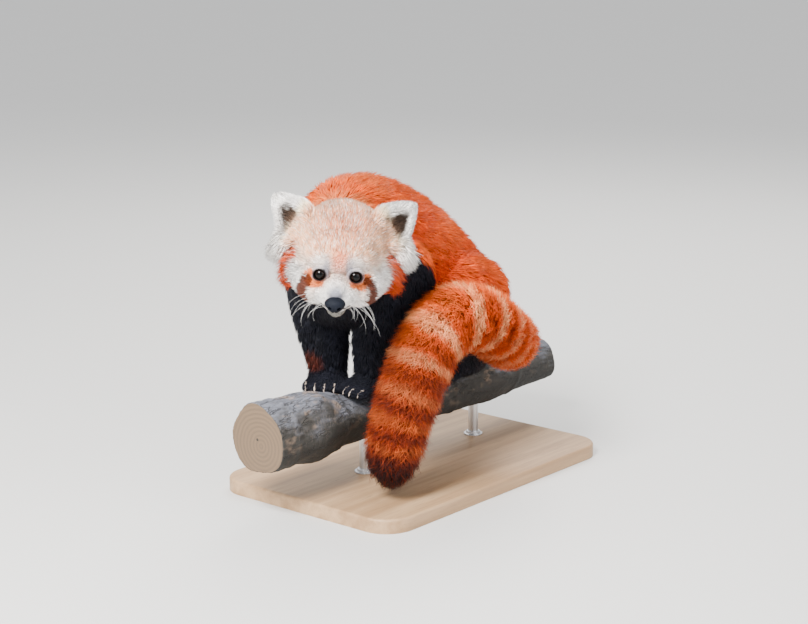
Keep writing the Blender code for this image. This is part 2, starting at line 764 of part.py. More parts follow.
def room_for_head():
    """A drum ahead of that face, which holds the head and clears the neck from it."""
    bm = bmesh.new()
    bmesh.ops.create_cone(bm, cap_ends=True, segments=24, radius1=HEAD_REACH, radius2=HEAD_REACH,
                          depth=2 * HEAD_REACH)
    turn = Matrix.Rotation(math.radians(90), 4, "X")
    place = HEAD.place @ Matrix.Translation((0, -HEAD_REACH - HEAD_BACK, 0)) @ turn
    bmesh.ops.transform(bm, matrix=place, verts=bm.verts)
    return from_bmesh("drum", bm)


def half_space(point, along, reach=0.25):
    """A large block whose flat face passes through the point, and which lies ahead of it."""
    bm = bmesh.new()
    bmesh.ops.create_cube(bm, size=2 * reach)
    turn = along.to_track_quat("Z", "Y").to_matrix().to_4x4()
    place = Matrix.Translation(point) @ turn @ Matrix.Translation((0, 0, reach))
    bmesh.ops.transform(bm, matrix=place, verts=bm.verts)
    return from_bmesh("block", bm)


def build_tail(neighbours, coat):
    """The tail with its locks, cut across into lengths."""
    stations = [(centre, radius - TAIL_COAT, radius - TAIL_COAT) for centre, radius in TAIL]
    tail = fleshed("tail_base", limb(stations), 0.004, 4, 300)
    combine(tail, tail_locks(tail), "UNION")
    clear_of(tail, *neighbours)
    lengths = [tail]
    for name, (point, along) in TAIL_CUTS.items():
        lengths.append(part_off(lengths[-1], name, half_space(point, along)))
    for length in lengths:
        finish(length, length.name, coat)


def melt_body(neighbours):
    """The torso, neck and legs melted into one flesh, with the coat's locks on it."""
    forms = limb(TRUNK, -BODY_COAT, 28) + limb(NECK, 0.0, 28)
    forms.append(ellipsoid(at(0.004, 0.004, 0.122), (0.052, 0.050, 0.052)))
    for stations in FORELEGS.values():
        forms += limb(stations)
    for joints in HINDLEGS.values():
        for stations in hindleg_stations(*joints):
            forms += limb(stations, -0.5 * BODY_COAT)
    body = fleshed("torso", forms, 0.0045, 8, 820)
    combine(body, body_locks(body), "UNION")
    combine(body, [room_for_head()], "DIFFERENCE")
    return clear_of(body, *neighbours)


def part_body(body, rust, black):
    """Parts the legs and the neck off the body, which leaves the torso."""
    pieces = []
    for name, stations in FORELEGS.items():
        outward = Vector((0.006 if name.endswith("left") else -0.006, 0, 0))
        leg = part_off(body, name, hull_round(stations, 0.006, outward))
        pieces.append(finish(leg, name, black))
    for name, joints in HINDLEGS.items():
        thigh, shank = hindleg_stations(*joints)
        outward = Vector((0.022 if name.endswith("left") else -0.022, 0, 0))
        leg = part_off(body, name, hull_round(thigh + shank, 0.010, outward))
        pieces.append(finish(leg, name, rust))
    neck = part_off(body, "neck", half_space(at(-0.002, 0.004, 0.165), Vector((0.55, -0.83, 0.0))))
    return pieces + [finish(neck, "neck", rust), finish(body, "torso", rust)]


def build():
    rust = material("rust_coat", RUST, 0.8)
    black = material("black_coat", BLACK, 0.75)
    cream = material("cream_coat", CREAM, 0.8)
    white = material("white_coat", WHITE, 0.8)
    ringed = material("tail_coat", TAIL_RED, 0.8)
    gloss = material("eye", BLACK, 0.08)
    leather = material("nose", BLACK, 0.35)
    bark = material("bark", BARK, 0.85)
    oak = material("stand_wood", OAK, 0.5)
    steel = material("stand_steel", STEEL, 0.35, 1.0)

    build_base(oak)
    perch = build_perch(bark)
    build_rod("stand_rod_front", ROD_FRONT_Y, perch, steel)
    build_rod("stand_rod_rear", ROD_REAR_Y, perch, steel)
    eyes = [build_eye("eye_left", 1, gloss), build_eye("eye_right", -1, gloss)]
    head = build_head(eyes, build_nose(leather), cream)
    ears = [build_ear("ear_left", 1, head, white), build_ear("ear_right", -1, head, white)]
    paws = []
    for name in PAWS:
        paw = build_paw(name, perch, black)
        clear_of(paw, *paws[-1:])
        paws.append(paw)
    neighbours = [perch, head] + ears + paws
    body = part_body(melt_body(neighbours), rust, black)
    build_tail(neighbours + body, ringed)


clear_scene()
MODEL = bpy.data.collections.new("red_panda")
bpy.context.scene.collection.children.link(MODEL)
build()
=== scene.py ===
"""A life-size red panda on its cut branch and display stand, with its coat, and the studio round it.

Metres, +Z up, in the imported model's own frame. The skin's forms repeat the part's named places,
drawn in by the depth of the coat, and the coat is made of tufts that follow its lie.
"""

import math
import random

import bmesh
import bpy
import numpy as np
from mathutils import Matrix, Vector, noise
from mathutils.bvhtree import BVHTree
from mathutils.kdtree import KDTree


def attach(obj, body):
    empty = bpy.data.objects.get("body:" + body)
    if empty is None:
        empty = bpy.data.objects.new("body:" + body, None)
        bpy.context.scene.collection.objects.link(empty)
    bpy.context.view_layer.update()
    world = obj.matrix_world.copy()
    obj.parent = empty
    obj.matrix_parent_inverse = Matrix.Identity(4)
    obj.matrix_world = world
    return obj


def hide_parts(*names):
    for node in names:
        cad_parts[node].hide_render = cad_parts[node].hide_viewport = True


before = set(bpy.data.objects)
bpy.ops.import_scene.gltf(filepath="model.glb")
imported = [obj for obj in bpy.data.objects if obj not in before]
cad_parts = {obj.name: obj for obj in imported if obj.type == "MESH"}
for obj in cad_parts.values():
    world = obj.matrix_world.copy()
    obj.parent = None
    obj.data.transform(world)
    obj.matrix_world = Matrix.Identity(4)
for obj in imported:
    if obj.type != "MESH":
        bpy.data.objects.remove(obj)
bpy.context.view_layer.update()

# The animal's places, as in the part.
PERCH_TOP = 0.120
PAWS_X, PAWS_Y = -0.012, -0.115
PERCH_FRONT, PERCH_REAR = -0.135, 0.370
THICK_RADIUS, SLIM_RADIUS, KNOT_RISE = 0.0375, 0.0290, 0.0035
BASE_LENGTH, BASE_WIDTH, BASE_THICKNESS, BASE_CORNER = 0.40, 0.26, 0.016, 0.035
ROD_RADIUS, ROD_FRONT_Y, ROD_REAR_Y = 0.006, 0.035, 0.235

HEAD_CENTRE = (0.062, -0.071, 0.1700)
HEAD_YAW, HEAD_PITCH, HEAD_ROLL = math.radians(38), math.radians(10), math.radians(4)
EYE_SIDE, EYE_FORWARD, EYE_UP, EYE_RADIUS = 0.0179, 0.0438, -0.0018, 0.0078
EAR_HEIGHT, EAR_WIDTH, EAR_DEPTH, EAR_LEAN = 0.047, 0.029, 0.013, math.radians(58)
# How much an ear narrows to its tip, and how far its tip is drawn outwards.
EAR_TAPER, EAR_SKEW = 0.56, -0.24
NOSE_FORWARD, NOSE_UP = 0.0765, -0.0208
FOREPAW_LENGTH, FOREPAW_WIDTH = 0.056, 0.046
HINDPAW_LENGTH, HINDPAW_WIDTH = 0.066, 0.044
CLAW_BEND = 0.0084
WHISKER_RADIUS, WHISKER_SHARES = 0.0001, [step / 10 for step in range(11)]

# How far the skin lies inside the outline that the coat reaches.
BODY_INSET, NECK_INSET, TAIL_INSET, LEG_INSET = 0.011, 0.010, 0.014, 0.0045
BODY_VOXEL, FACE_VOXEL = 0.0030, 0.0014
LID_THICKNESS, MOUTH_RADIUS = 0.0014, 0.0011
# Half the width and half the height of the gap between the lids.
LID_WIDTH, LID_HEIGHT = 0.0061, 0.0054

# Where a tuft begins below the skin, and the size of its patch on the bake's map.
TUFT_SINK, TUFT_PATCH = 0.0012, 0.003
TUFTS_A_PIECE = 19500
# How far along the tail its pale rings show, and how far back the roots of their tufts are.
PALE_RINGS = (0.034, 0.070, 0.106, 0.142, 0.178, 0.214, 0.254, 0.294, 0.329, 0.363, 0.393, 0.420, 0.447)
RING_DRIFT = 0.013
# How far the black's upper edge falls for each metre backwards from the shoulder.
SHOULDER_FALL = 0.95

# Colours of the coat, as linear red, green and blue.
# The peach is the coat's paler tone and also painted light on upward-facing tops.
RUST, PEACH_AND_TOP_LIGHT, EMBER = (0.74, 0.064, 0.0004), (0.90, 0.175, 0.012), (0.24, 0.030, 0.008)
BUFF, SNOW, JET = (0.90, 0.50, 0.30), (0.90, 0.87, 0.84), (0.008, 0.009, 0.016)
TEAR, AMBER, SLATE, WRIST = (0.105, 0.016, 0.001), (0.60, 0.13, 0.020), (0.22, 0.23, 0.29), (0.11, 0.022, 0.012)
# The chin's grey is painted shade under the muzzle, over the chin's own white.
EMBER_RUFF, LID, CHIN_SHADE = (0.56, 0.055, 0.003), (0.006, 0.005, 0.005), (0.15, 0.145, 0.125)
RING_PALE, RING_LOW, RING_DARK = (0.94, 0.44, 0.20), (0.40, 0.070, 0.010), (0.075, 0.007, 0.001)
TAIL_TOP, TAIL_LOW, TAIL_END = (0.68, 0.074, 0.002), (0.22, 0.020, 0.002), (0.022, 0.004, 0.004)
EAR_DARK, EAR_CREAM, NAPE = (0.030, 0.018, 0.012), (0.84, 0.66, 0.42), (0.90, 0.26, 0.08)

CAMERA_BEARING, CAMERA_RISE, CAMERA_REACH = math.radians(40), math.radians(13), 2.14
LENS, SENSOR = 85.0, 36.0
IMAGE_WIDTH, IMAGE_HEIGHT = 808, 624
# Where the front paws' place shows in the image.
PAWS_PIXEL = (343, 390)


def at(x, y, z):
    """A point given from the front paws' place on top of the branch: left, back and up."""
    return Vector((x + PAWS_X, y + PAWS_Y, z + PERCH_TOP))


class Frame:
    """A place and a facing on the animal, whose points are given left, forward and up."""

    def __init__(self, centre, yaw, pitch=0.0, roll=0.0):
        turn = Matrix.Rotation(yaw, 4, "Z") @ Matrix.Rotation(pitch, 4, "X")
        self.turn = turn @ Matrix.Rotation(roll, 4, "Y")
        self.place = Matrix.Translation(centre) @ self.turn

    def at(self, left, forward, up):
        return self.place @ Vector((left, -forward, up))

    def along(self, left, forward, up):
        return (self.turn.to_3x3() @ Vector((left, -forward, up))).normalized()

    def measure(self, points):
        """Many points of the model as left, forward and up of this place."""
        back = np.array(self.place.inverted())
        return (points @ back[:3, :3].T + back[:3, 3]) * (1, -1, 1)


HEAD = Frame(at(*HEAD_CENTRE), HEAD_YAW, HEAD_PITCH, HEAD_ROLL)
NOSE = HEAD.at(0, NOSE_FORWARD, NOSE_UP)
EYES = {"left": HEAD.at(EYE_SIDE, EYE_FORWARD, EYE_UP), "right": HEAD.at(-EYE_SIDE, EYE_FORWARD, EYE_UP)}
SIDES = {"left": 1, "right": -1}

TRUNK = (
    (at(0.008, -0.018, 0.140), 0.060, 0.064),
    (at(-0.010, 0.025, 0.160), 0.072, 0.084),
    (at(-0.018, 0.085, 0.142), 0.076, 0.086),
    (at(-0.016, 0.135, 0.110), 0.078, 0.084),
    (at(-0.010, 0.180, 0.072), 0.076, 0.078),
    (at(-0.002, 0.205, 0.048), 0.068, 0.066),
)
NECK = (
    (at(-0.008, 0.015, 0.165), 0.068, 0.066),
    (at(0.022, -0.025, 0.165), 0.060, 0.058),
    (at(0.048, -0.056, 0.163), 0.052, 0.050),
)
FORELEGS = (
    ((at(0.040, 0.046, 0.130), 0.043, 0.046),
     (at(0.030, 0.032, 0.080), 0.034, 0.034),
     (at(0.026, 0.026, 0.040), 0.027, 0.027),
     (at(0.026, 0.024, 0.018), 0.023, 0.023)),
    ((at(-0.044, 0.014, 0.130), 0.045, 0.046),
     (at(-0.040, 0.009, 0.085), 0.036, 0.035),
     (at(-0.033, 0.009, 0.040), 0.027, 0.027),
     (at(-0.030, 0.009, 0.018), 0.023, 0.023)),
)
# Each hind leg's hip, knee, heel and ankle.
HINDLEGS = (
    (at(0.036, 0.195, 0.080), at(0.050, 0.112, 0.074), at(0.042, 0.180, 0.012), at(0.038, 0.158, 0.004)),
    (at(-0.052, 0.210, 0.076), at(-0.074, 0.132, 0.070), at(-0.052, 0.204, 0.012), at(-0.044, 0.182, 0.002)),
)
TAIL = (
    (at(0.010, 0.222, 0.044), 0.034), (at(0.052, 0.236, 0.028), 0.033), (at(0.084, 0.198, 0.032), 0.033),
    (at(0.106, 0.150, 0.054), 0.036), (at(0.114, 0.102, 0.080), 0.038), (at(0.112, 0.060, 0.089), 0.039),
    (at(0.106, 0.025, 0.068), 0.038), (at(0.099, -0.005, 0.010), 0.037), (at(0.092, -0.018, -0.042), 0.034),
    (at(0.090, -0.020, -0.066), 0.026),
)
# Each paw's place, bearing, length and width.
PAWS = {
    "forepaw_left": (at(0.026, 0.022, -0.002), math.radians(-20), FOREPAW_LENGTH, FOREPAW_WIDTH),
    "forepaw_right": (at(-0.027, 0.006, -0.001), math.radians(34), FOREPAW_LENGTH, FOREPAW_WIDTH),
    "hindpaw_left": (at(0.032, 0.142, -0.010), math.radians(8), HINDPAW_LENGTH, HINDPAW_WIDTH),
    "hindpaw_right": (at(-0.036, 0.166, -0.010), math.radians(-8), HINDPAW_LENGTH, HINDPAW_WIDTH),
}
# The head's forms, each its centre left, forward and up, its half sizes, and how far the skin lies
# inside them: skull, brow, face, muzzle, bridge, lips, jaw.
HEAD_FORMS = [
    ((0, -0.012, 0.010), (0.052, 0.054, 0.050), 0.006),
    ((0, 0.020, 0.014), (0.040, 0.032, 0.030), 0.004),
    ((0, 0.000, -0.008), (0.061, 0.042, 0.040), 0.015),
    ((0, 0.041, -0.020), (0.0250, 0.034, 0.0185), 0.0015),
    ((0, 0.053, -0.012), (0.0130, 0.024, 0.0120), 0.0012),
    ((0, 0.060, -0.0235), (0.0150, 0.0155, 0.0125), 0.0012),
    ((0, 0.040, -0.0362), (0.0112, 0.0255, 0.0105), 0.0012),
]
# A cheek's and an under-eye's form, on each side.
for lateral in (-1, 1):
    HEAD_FORMS.append(((lateral * 0.031, -0.003, -0.016), (0.033, 0.036, 0.036), 0.015))
    HEAD_FORMS.append(((lateral * 0.021, 0.022, -0.020), (0.026, 0.028, 0.024), 0.003))


def ear_place(side):
    """The ear's own axes at its middle: across, deep and up to its tip."""
    root = Matrix.Translation((side * 0.040, 0.010, 0.026))
    turn_out = Matrix.Rotation(side * math.radians(14), 4, "Z")
    lean = Matrix.Rotation(side * EAR_LEAN, 4, "Y") @ Matrix.Rotation(math.radians(-8), 4, "X")
    return HEAD.place @ root @ turn_out @ lean @ Matrix.Translation((0, 0, EAR_HEIGHT * 0.42))


# Helpers that make and join meshes

def shown(name, mesh, replaced=(), slot=None):
    """A mesh as a piece of the model, which stands for those nodes of the part."""
    obj = bpy.data.objects.new(name, mesh)
    bpy.context.scene.collection.objects.link(obj)
    if slot:
        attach(obj, "root")
    if replaced:
        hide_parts(*replaced)
    return obj


def from_bmesh(name, bm):
    bmesh.ops.recalc_face_normals(bm, faces=bm.faces)
    mesh = bpy.data.meshes.new(name)
    bm.to_mesh(mesh)
    bm.free()
    return mesh


def with_modifiers(obj):
    """Makes an object's modifiers part of its mesh."""
    bpy.context.view_layer.update()
    graph = bpy.context.evaluated_depsgraph_get()
    mesh = bpy.data.meshes.new_from_object(obj.evaluated_get(graph))
    obj.modifiers.clear()
    old = obj.data
    obj.data = mesh
    bpy.data.meshes.remove(old)
    return obj


def melted(name, bm, voxel, smoothing):
    """Overlapping forms melted into one smooth closed skin."""
    obj = shown(name, from_bmesh(name, bm))
    melt = obj.modifiers.new("melt", "REMESH")
    melt.mode = "VOXEL"
    melt.voxel_size = voxel
    soften = obj.modifiers.new("soften", "SMOOTH")
    soften.factor = 0.5
    soften.iterations = smoothing
    return with_modifiers(obj)


def combine(target, others, operation):
    """One Boolean of closed meshes, applied, and the others removed."""
    for other in others:
        step = target.modifiers.new("combine", "BOOLEAN")
        step.operation = operation
        step.solver = "MANIFOLD"
        step.object = other
        with_modifiers(target)
        bpy.data.objects.remove(other)
    return target


def ball(bm, centre, radii, turn=None, segments=24, rings=14):
    """Adds a ball of three half sizes, turned."""
    shape = Matrix.Translation(centre) @ (turn or Matrix.Identity(4)) @ Matrix.Diagonal((*radii, 1))
    alone = bmesh.new()
    bmesh.ops.create_uvsphere(alone, u_segments=segments, v_segments=rings, radius=1, matrix=shape)
    mesh = bpy.data.meshes.new("ball")
    alone.to_mesh(mesh)
    alone.free()
    bm.from_mesh(mesh)
    bpy.data.meshes.remove(mesh)


def smooth_path(points, steps=6):
    """More points along a smooth curve through the points given."""
    found = []
    for i in range(len(points) - 1):
        before, start, end = points[max(i - 1, 0)], points[i], points[i + 1]
        after = points[min(i + 2, len(points) - 1)]
        for step in range(steps):
            t = step / steps
            found.append(0.5 * (2 * start + (end - before) * t + (2 * before - 5 * start + 4 * end - after) * t ** 2
                                + (3 * start - before - 3 * end + after) * t ** 3))
    return found + [points[-1]]


def smooth_sizes(sizes, steps=6):
    places = np.linspace(0, len(sizes) - 1, (len(sizes) - 1) * steps + 1)
    return np.interp(places, range(len(sizes)), sizes)


def limb(bm, stations, inset):
    """Balls set close along a limb's stations of (centre, half width, half height)."""
    path = smooth_path([centre for centre, _, _ in stations])
    wides = smooth_sizes([wide - inset for _, wide, _ in stations])
    highs = smooth_sizes([high - inset for _, _, high in stations])
    for i, centre in enumerate(path):
        along = (path[min(i + 1, len(path) - 1)] - path[max(i - 1, 0)]).normalized()
        level = Vector((along.x, along.y, 0))
        across = Vector((-along.y, along.x, 0)) if level.length > 0.2 else Vector((1, 0, 0))
        across = (across - across.dot(along) * along).normalized()
        turn = Matrix((across, along, across.cross(along))).transposed().to_4x4()
        ball(bm, centre, (wides[i], min(wides[i], highs[i]), highs[i]), turn)


# The skin

def hindleg_stations(hip, knee, heel, ankle):
    """A folded hind leg: the thigh runs forward to the knee and the shank back to the heel."""
    lifted = (hip + knee) / 2 + Vector((0, 0, 0.010))
    thigh = ((hip, 0.042, 0.048), (lifted, 0.040, 0.054), (knee, 0.031, 0.036))
    shank = ((knee, 0.029, 0.029), ((knee + heel) / 2, 0.024, 0.026), (heel, 0.022, 0.022),
             (ankle, 0.020, 0.018))
    return thigh, shank


def toe_tip(toe, length, width):
    """Where a toe ends in its paw's frame. Toe 2 is the middle one and reaches furthest."""
    spread = (toe - 2) / 2
    return spread * width * 0.47, length * (0.60 - 0.12 * spread ** 2), 0.005


def paw_forms(bm, name):
    centre, bearing, length, width = PAWS[name]
    paw = Frame(centre, bearing)
    ball(bm, paw.at(0, 0.1 * length, 0.009), (width * 0.48, length * 0.41, 0.013), paw.turn)
    for toe in range(5):
        left, forward, up = toe_tip(toe, length, width)
        root = paw.at(0.64 * left, 0.33 * forward, 0.010)
        limb(bm, ((root, 0.0072, 0.0072), (paw.at(left, forward, up), 0.0064, 0.0058)), 0.0004)


def body_skin():
    bm = bmesh.new()
    limb(bm, TRUNK, BODY_INSET)
    limb(bm, NECK, NECK_INSET)
    ball(bm, at(0.004, 0.004, 0.122), (0.044, 0.042, 0.044))
    for stations in FORELEGS:
        limb(bm, stations, LEG_INSET)
    for joints in HINDLEGS:
        thigh, shank = hindleg_stations(*joints)
        limb(bm, thigh, BODY_INSET * 0.8)
        limb(bm, shank, LEG_INSET)
    limb(bm, [(centre, radius, radius) for centre, radius in TAIL], TAIL_INSET)
    for name in PAWS:
        paw_forms(bm, name)
    return melted("skin", bm, BODY_VOXEL, 6)


def ear_form(bm, side, wide, deep, high, forward):
    made = bmesh.ops.create_uvsphere(bm, u_segments=32, v_segments=20, radius=1)["verts"]
    for vert in made:
        vert.co.x = vert.co.x * (1 - EAR_TAPER * vert.co.z) + side * EAR_SKEW * vert.co.z
    place = ear_place(side) @ Matrix.Translation((0, -forward, 0)) @ Matrix.Diagonal((wide, deep, high, 1))
    bmesh.ops.transform(bm, matrix=place, verts=made)


def mouth_line(face):
    """The line between the lips, from one corner round the front of the muzzle to the other."""
    tree = BVHTree.FromObject(face, bpy.context.evaluated_depsgraph_get())
    points = []
    for step in range(-3, 4):
        angle = math.radians(15 * step)
        guess = HEAD.at(0.027 * math.sin(angle), 0.032 + 0.050 * math.cos(angle),
                        -0.0325 + 0.0020 * math.cos(2 * angle))
        points.append(tree.find_nearest(guess)[0])
    return points


def pipe(name, points, radius):
    """A closed round pipe along points, made from a curve."""
    curve = bpy.data.curves.new(name, "CURVE")
    curve.dimensions = "3D"
    curve.bevel_depth = radius
    curve.bevel_resolution = 2
    curve.use_fill_caps = True
    line = curve.splines.new("POLY")
    line.points.add(len(points) - 1)
    for point, place in zip(line.points, points):
        point.co = (*place, 1)
    made = bpy.data.objects.new(name, curve)
    bpy.context.scene.collection.objects.link(made)
    bpy.context.view_layer.update()
    graph = bpy.context.evaluated_depsgraph_get()
    mesh = bpy.data.meshes.new_from_object(made.evaluated_get(graph))
    bpy.data.objects.remove(made)
    bm = bmesh.new()
    bm.from_mesh(mesh)
    bmesh.ops.remove_doubles(bm, verts=bm.verts, dist=0.00001)
    return shown(name, from_bmesh(name, bm))


def one_form(name, fill):
    """A single closed form as an object, made by a function that fills a bmesh."""
    bm = bmesh.new()
    fill(bm)
    return shown(name, from_bmesh(name, bm))


def lid_turn(side):
    """The way an eye's opening faces: outwards, upwards, and tilted a little down at its inner corner."""
    turn = HEAD.turn @ Matrix.Rotation(side * math.radians(10), 4, "Z") @ Matrix.Rotation(math.radians(-12), 4, "X")
    return turn @ Matrix.Rotation(side * math.radians(8), 4, "Y")


def lid_opening(bm, side, eye):
    """The almond gap between the lids."""
    turn = lid_turn(side)
    ahead = turn.to_3x3() @ Vector((0, -EYE_RADIUS, 0))
    ball(bm, eye + ahead, (LID_WIDTH, EYE_RADIUS * 1.2, LID_HEIGHT), turn, 40, 24)


MOUTH = []


def head_skin():
    """The head with its ears, and the lids, eye sockets, ear cups and mouth worked into it."""
    bm = bmesh.new()
    for centre, radii, inset in HEAD_FORMS:
        ball(bm, HEAD.at(*centre), [radius - inset for radius in radii], HEAD.turn, 40, 24)
    for side in SIDES.values():
        ear_form(bm, side, EAR_WIDTH - 0.006, EAR_DEPTH - 0.003, EAR_HEIGHT * 0.62 - 0.003, 0.0)
    head = melted("head_skin", bm, FACE_VOXEL, 8)
    line = mouth_line(head)
    MOUTH.extend(line)
    lids, gaps = [], [pipe("mouth", line, MOUTH_RADIUS)]
    for name, side in SIDES.items():
        eye = EYES[name]
        lids.append(one_form("lid", lambda bm: ball(bm, eye, [EYE_RADIUS + LID_THICKNESS] * 3, HEAD.turn, 40, 24)))
        gaps.append(one_form("socket", lambda bm: ball(bm, eye, [EYE_RADIUS + 0.0001] * 3, HEAD.turn, 40, 24)))
        gaps.append(one_form("opening", lambda bm: lid_opening(bm, side, eye)))
        gaps.append(one_form("cup", lambda bm: ear_form(bm, side, EAR_WIDTH * 0.62, EAR_DEPTH,
                                                        EAR_HEIGHT * 0.46, EAR_DEPTH * 0.92)))
    combine(head, lids, "UNION")
    return combine(head, gaps, "DIFFERENCE")


# Where a point lies on the animal, for many points at once

def ease(value, start, end):
    share = np.clip((value - start) / (end - start), 0, 1)
    return share * share * (3 - 2 * share)


def mix(one, two, share):
    one = np.asarray(one, float)
    return one + (np.asarray(two, float) - one) * np.asarray(share)[:, None]


def unit(ways):
    return ways / np.maximum(np.linalg.norm(ways, axis=1), 1e-9)[:, None]


def waver(points, scale, seed):
    """A smooth random value from -1 to 1 that changes over about that distance."""
    chance = np.random.default_rng(seed)
    total = np.zeros(len(points))
    for _ in range(4):
        way = chance.normal(size=3)
        total += np.sin(points @ (way / np.linalg.norm(way)) * (2.6 / scale) * chance.uniform(0.7, 1.4)
                        + chance.uniform(0, 2 * math.pi))
    return total / 2.2


def dense_limb(stations):
    centres = np.array(smooth_path([centre for centre, _, _ in stations]))
    radii = smooth_sizes([0.5 * (wide + high) for _, wide, high in stations])
    return centres, radii


def outside_of(points, centres, radii):
    """How far points lie outside a limb, and the nearest of its centres."""
    best, which = np.full(len(points), 9.0), np.zeros(len(points), int)
    for i, (centre, radius) in enumerate(zip(centres, radii)):
        gap = np.linalg.norm(points - centre, axis=1) - radius
        closer = gap < best
        best[closer], which[closer] = gap[closer], i
    return best, which


def outside_of_head(points):
    local = HEAD.measure(points)
    gaps = [(np.linalg.norm((local - centre) / (np.array(radii) - inset), axis=1) - 1) * (min(radii) - inset)
            for centre, radii, inset in HEAD_FORMS]
    return np.min(gaps, axis=0)


TAIL_PATH = np.array(smooth_path([centre for centre, _ in TAIL]))
TAIL_RADII = smooth_sizes([radius for _, radius in TAIL])
TAIL_ALONG = unit(np.gradient(TAIL_PATH, axis=0))
TAIL_REACH = np.concatenate([[0], np.cumsum(np.linalg.norm(np.diff(TAIL_PATH, axis=0), axis=1))])
REGIONS = ("trunk", "neck", "head", "ear", "foreleg", "thigh", "shank", "paw", "tail")


class Spot:
    """Points on the animal's skin, with how strongly each belongs to each region."""

    def __init__(self, points, normals):
        self.points, self.normals = points, normals
        self.head = HEAD.measure(points)
        self.ears = {side: self.in_ear(side) for side in SIDES.values()}
        gaps = {
            "trunk": outside_of(points, *dense_limb(TRUNK))[0] + BODY_INSET,
            "neck": outside_of(points, *dense_limb(NECK))[0] + NECK_INSET,
            "head": outside_of_head(points),
            "ear": np.min([ear[1] for ear in self.ears.values()], axis=0),
            "foreleg": np.min([outside_of(points, *dense_limb(leg))[0] for leg in FORELEGS], axis=0) + LEG_INSET,
        }
        thighs, shanks = zip(*(hindleg_stations(*joints) for joints in HINDLEGS))
        gaps["thigh"] = np.min([outside_of(points, *dense_limb(leg))[0] for leg in thighs], axis=0) + BODY_INSET
        gaps["shank"] = np.min([outside_of(points, *dense_limb(leg))[0] for leg in shanks], axis=0) + LEG_INSET
        gaps["paw"] = self.outside_paws()
        gap, which = outside_of(points, TAIL_PATH, TAIL_RADII)
        gaps["tail"] = gap + TAIL_INSET
        self.tail_along, self.tail_reach = TAIL_ALONG[which], self.reach_along_tail(which)
        closest = np.min(list(gaps.values()), axis=0)
        pull = {name: np.exp(-(gap - closest) / 0.004) for name, gap in gaps.items()}
        total = sum(pull.values())
        self.share = {name: value / total for name, value in pull.items()}

    def in_ear(self, side):
        """Places across, deep and up in an ear, as shares of its half sizes, and how far outside."""
        back = np.array(ear_place(side).inverted())
        local = (self.points @ back[:3, :3].T + back[:3, 3]) / (EAR_WIDTH, EAR_DEPTH, EAR_HEIGHT * 0.62)
        local[:, 0] -= side * EAR_SKEW * local[:, 2]
        local[:, 0] /= np.clip(1 - EAR_TAPER * local[:, 2], 0.4, 1.6)
        outside = np.maximum(np.linalg.norm(local, axis=1) - 1.0, 0) * EAR_WIDTH
        sunk = ease(local[:, 2], -0.25, -0.75) * 0.02
        return local, outside + sunk - 0.001

    def outside_paws(self):
        gaps = []
        for centre, bearing, length, width in PAWS.values():
            local = Frame(centre, bearing).measure(self.points) - (0, 0.25 * length, 0.006)
            gaps.append((np.linalg.norm(local / (0.56 * width, 0.62 * length, 0.017), axis=1) - 1) * 0.017)
        return np.min(gaps, axis=0) + 0.001

    def reach_along_tail(self, which):
        """How far along the tail each point is, from its root to its tip."""
        ahead = np.sum((self.points - TAIL_PATH[which]) * TAIL_ALONG[which], axis=1)
        return TAIL_REACH[which] + ahead


# The coat's markings

def near_line(across, rise, line):
    """How far points of a flat drawing lie from a line through the points given."""
    best = np.full(len(across), 9.0)
    spot = np.stack([across, rise], axis=1)
    for start, end in zip(line, line[1:]):
        start, way = np.array(start), np.array(end) - np.array(start)
        share = np.clip(((spot - start) @ way) / (way @ way), 0, 1)
        best = np.minimum(best, np.linalg.norm(spot - start - share[:, None] * way, axis=1))
    return best


def oval(across, rise, centre, radii, soft=0.35):
    """One inside an oval of a flat drawing, falling softly to none outside."""
    reach = np.hypot((across - centre[0]) / radii[0], (rise - centre[1]) / radii[1])
    return ease(reach, 1 + soft, 1 - soft)


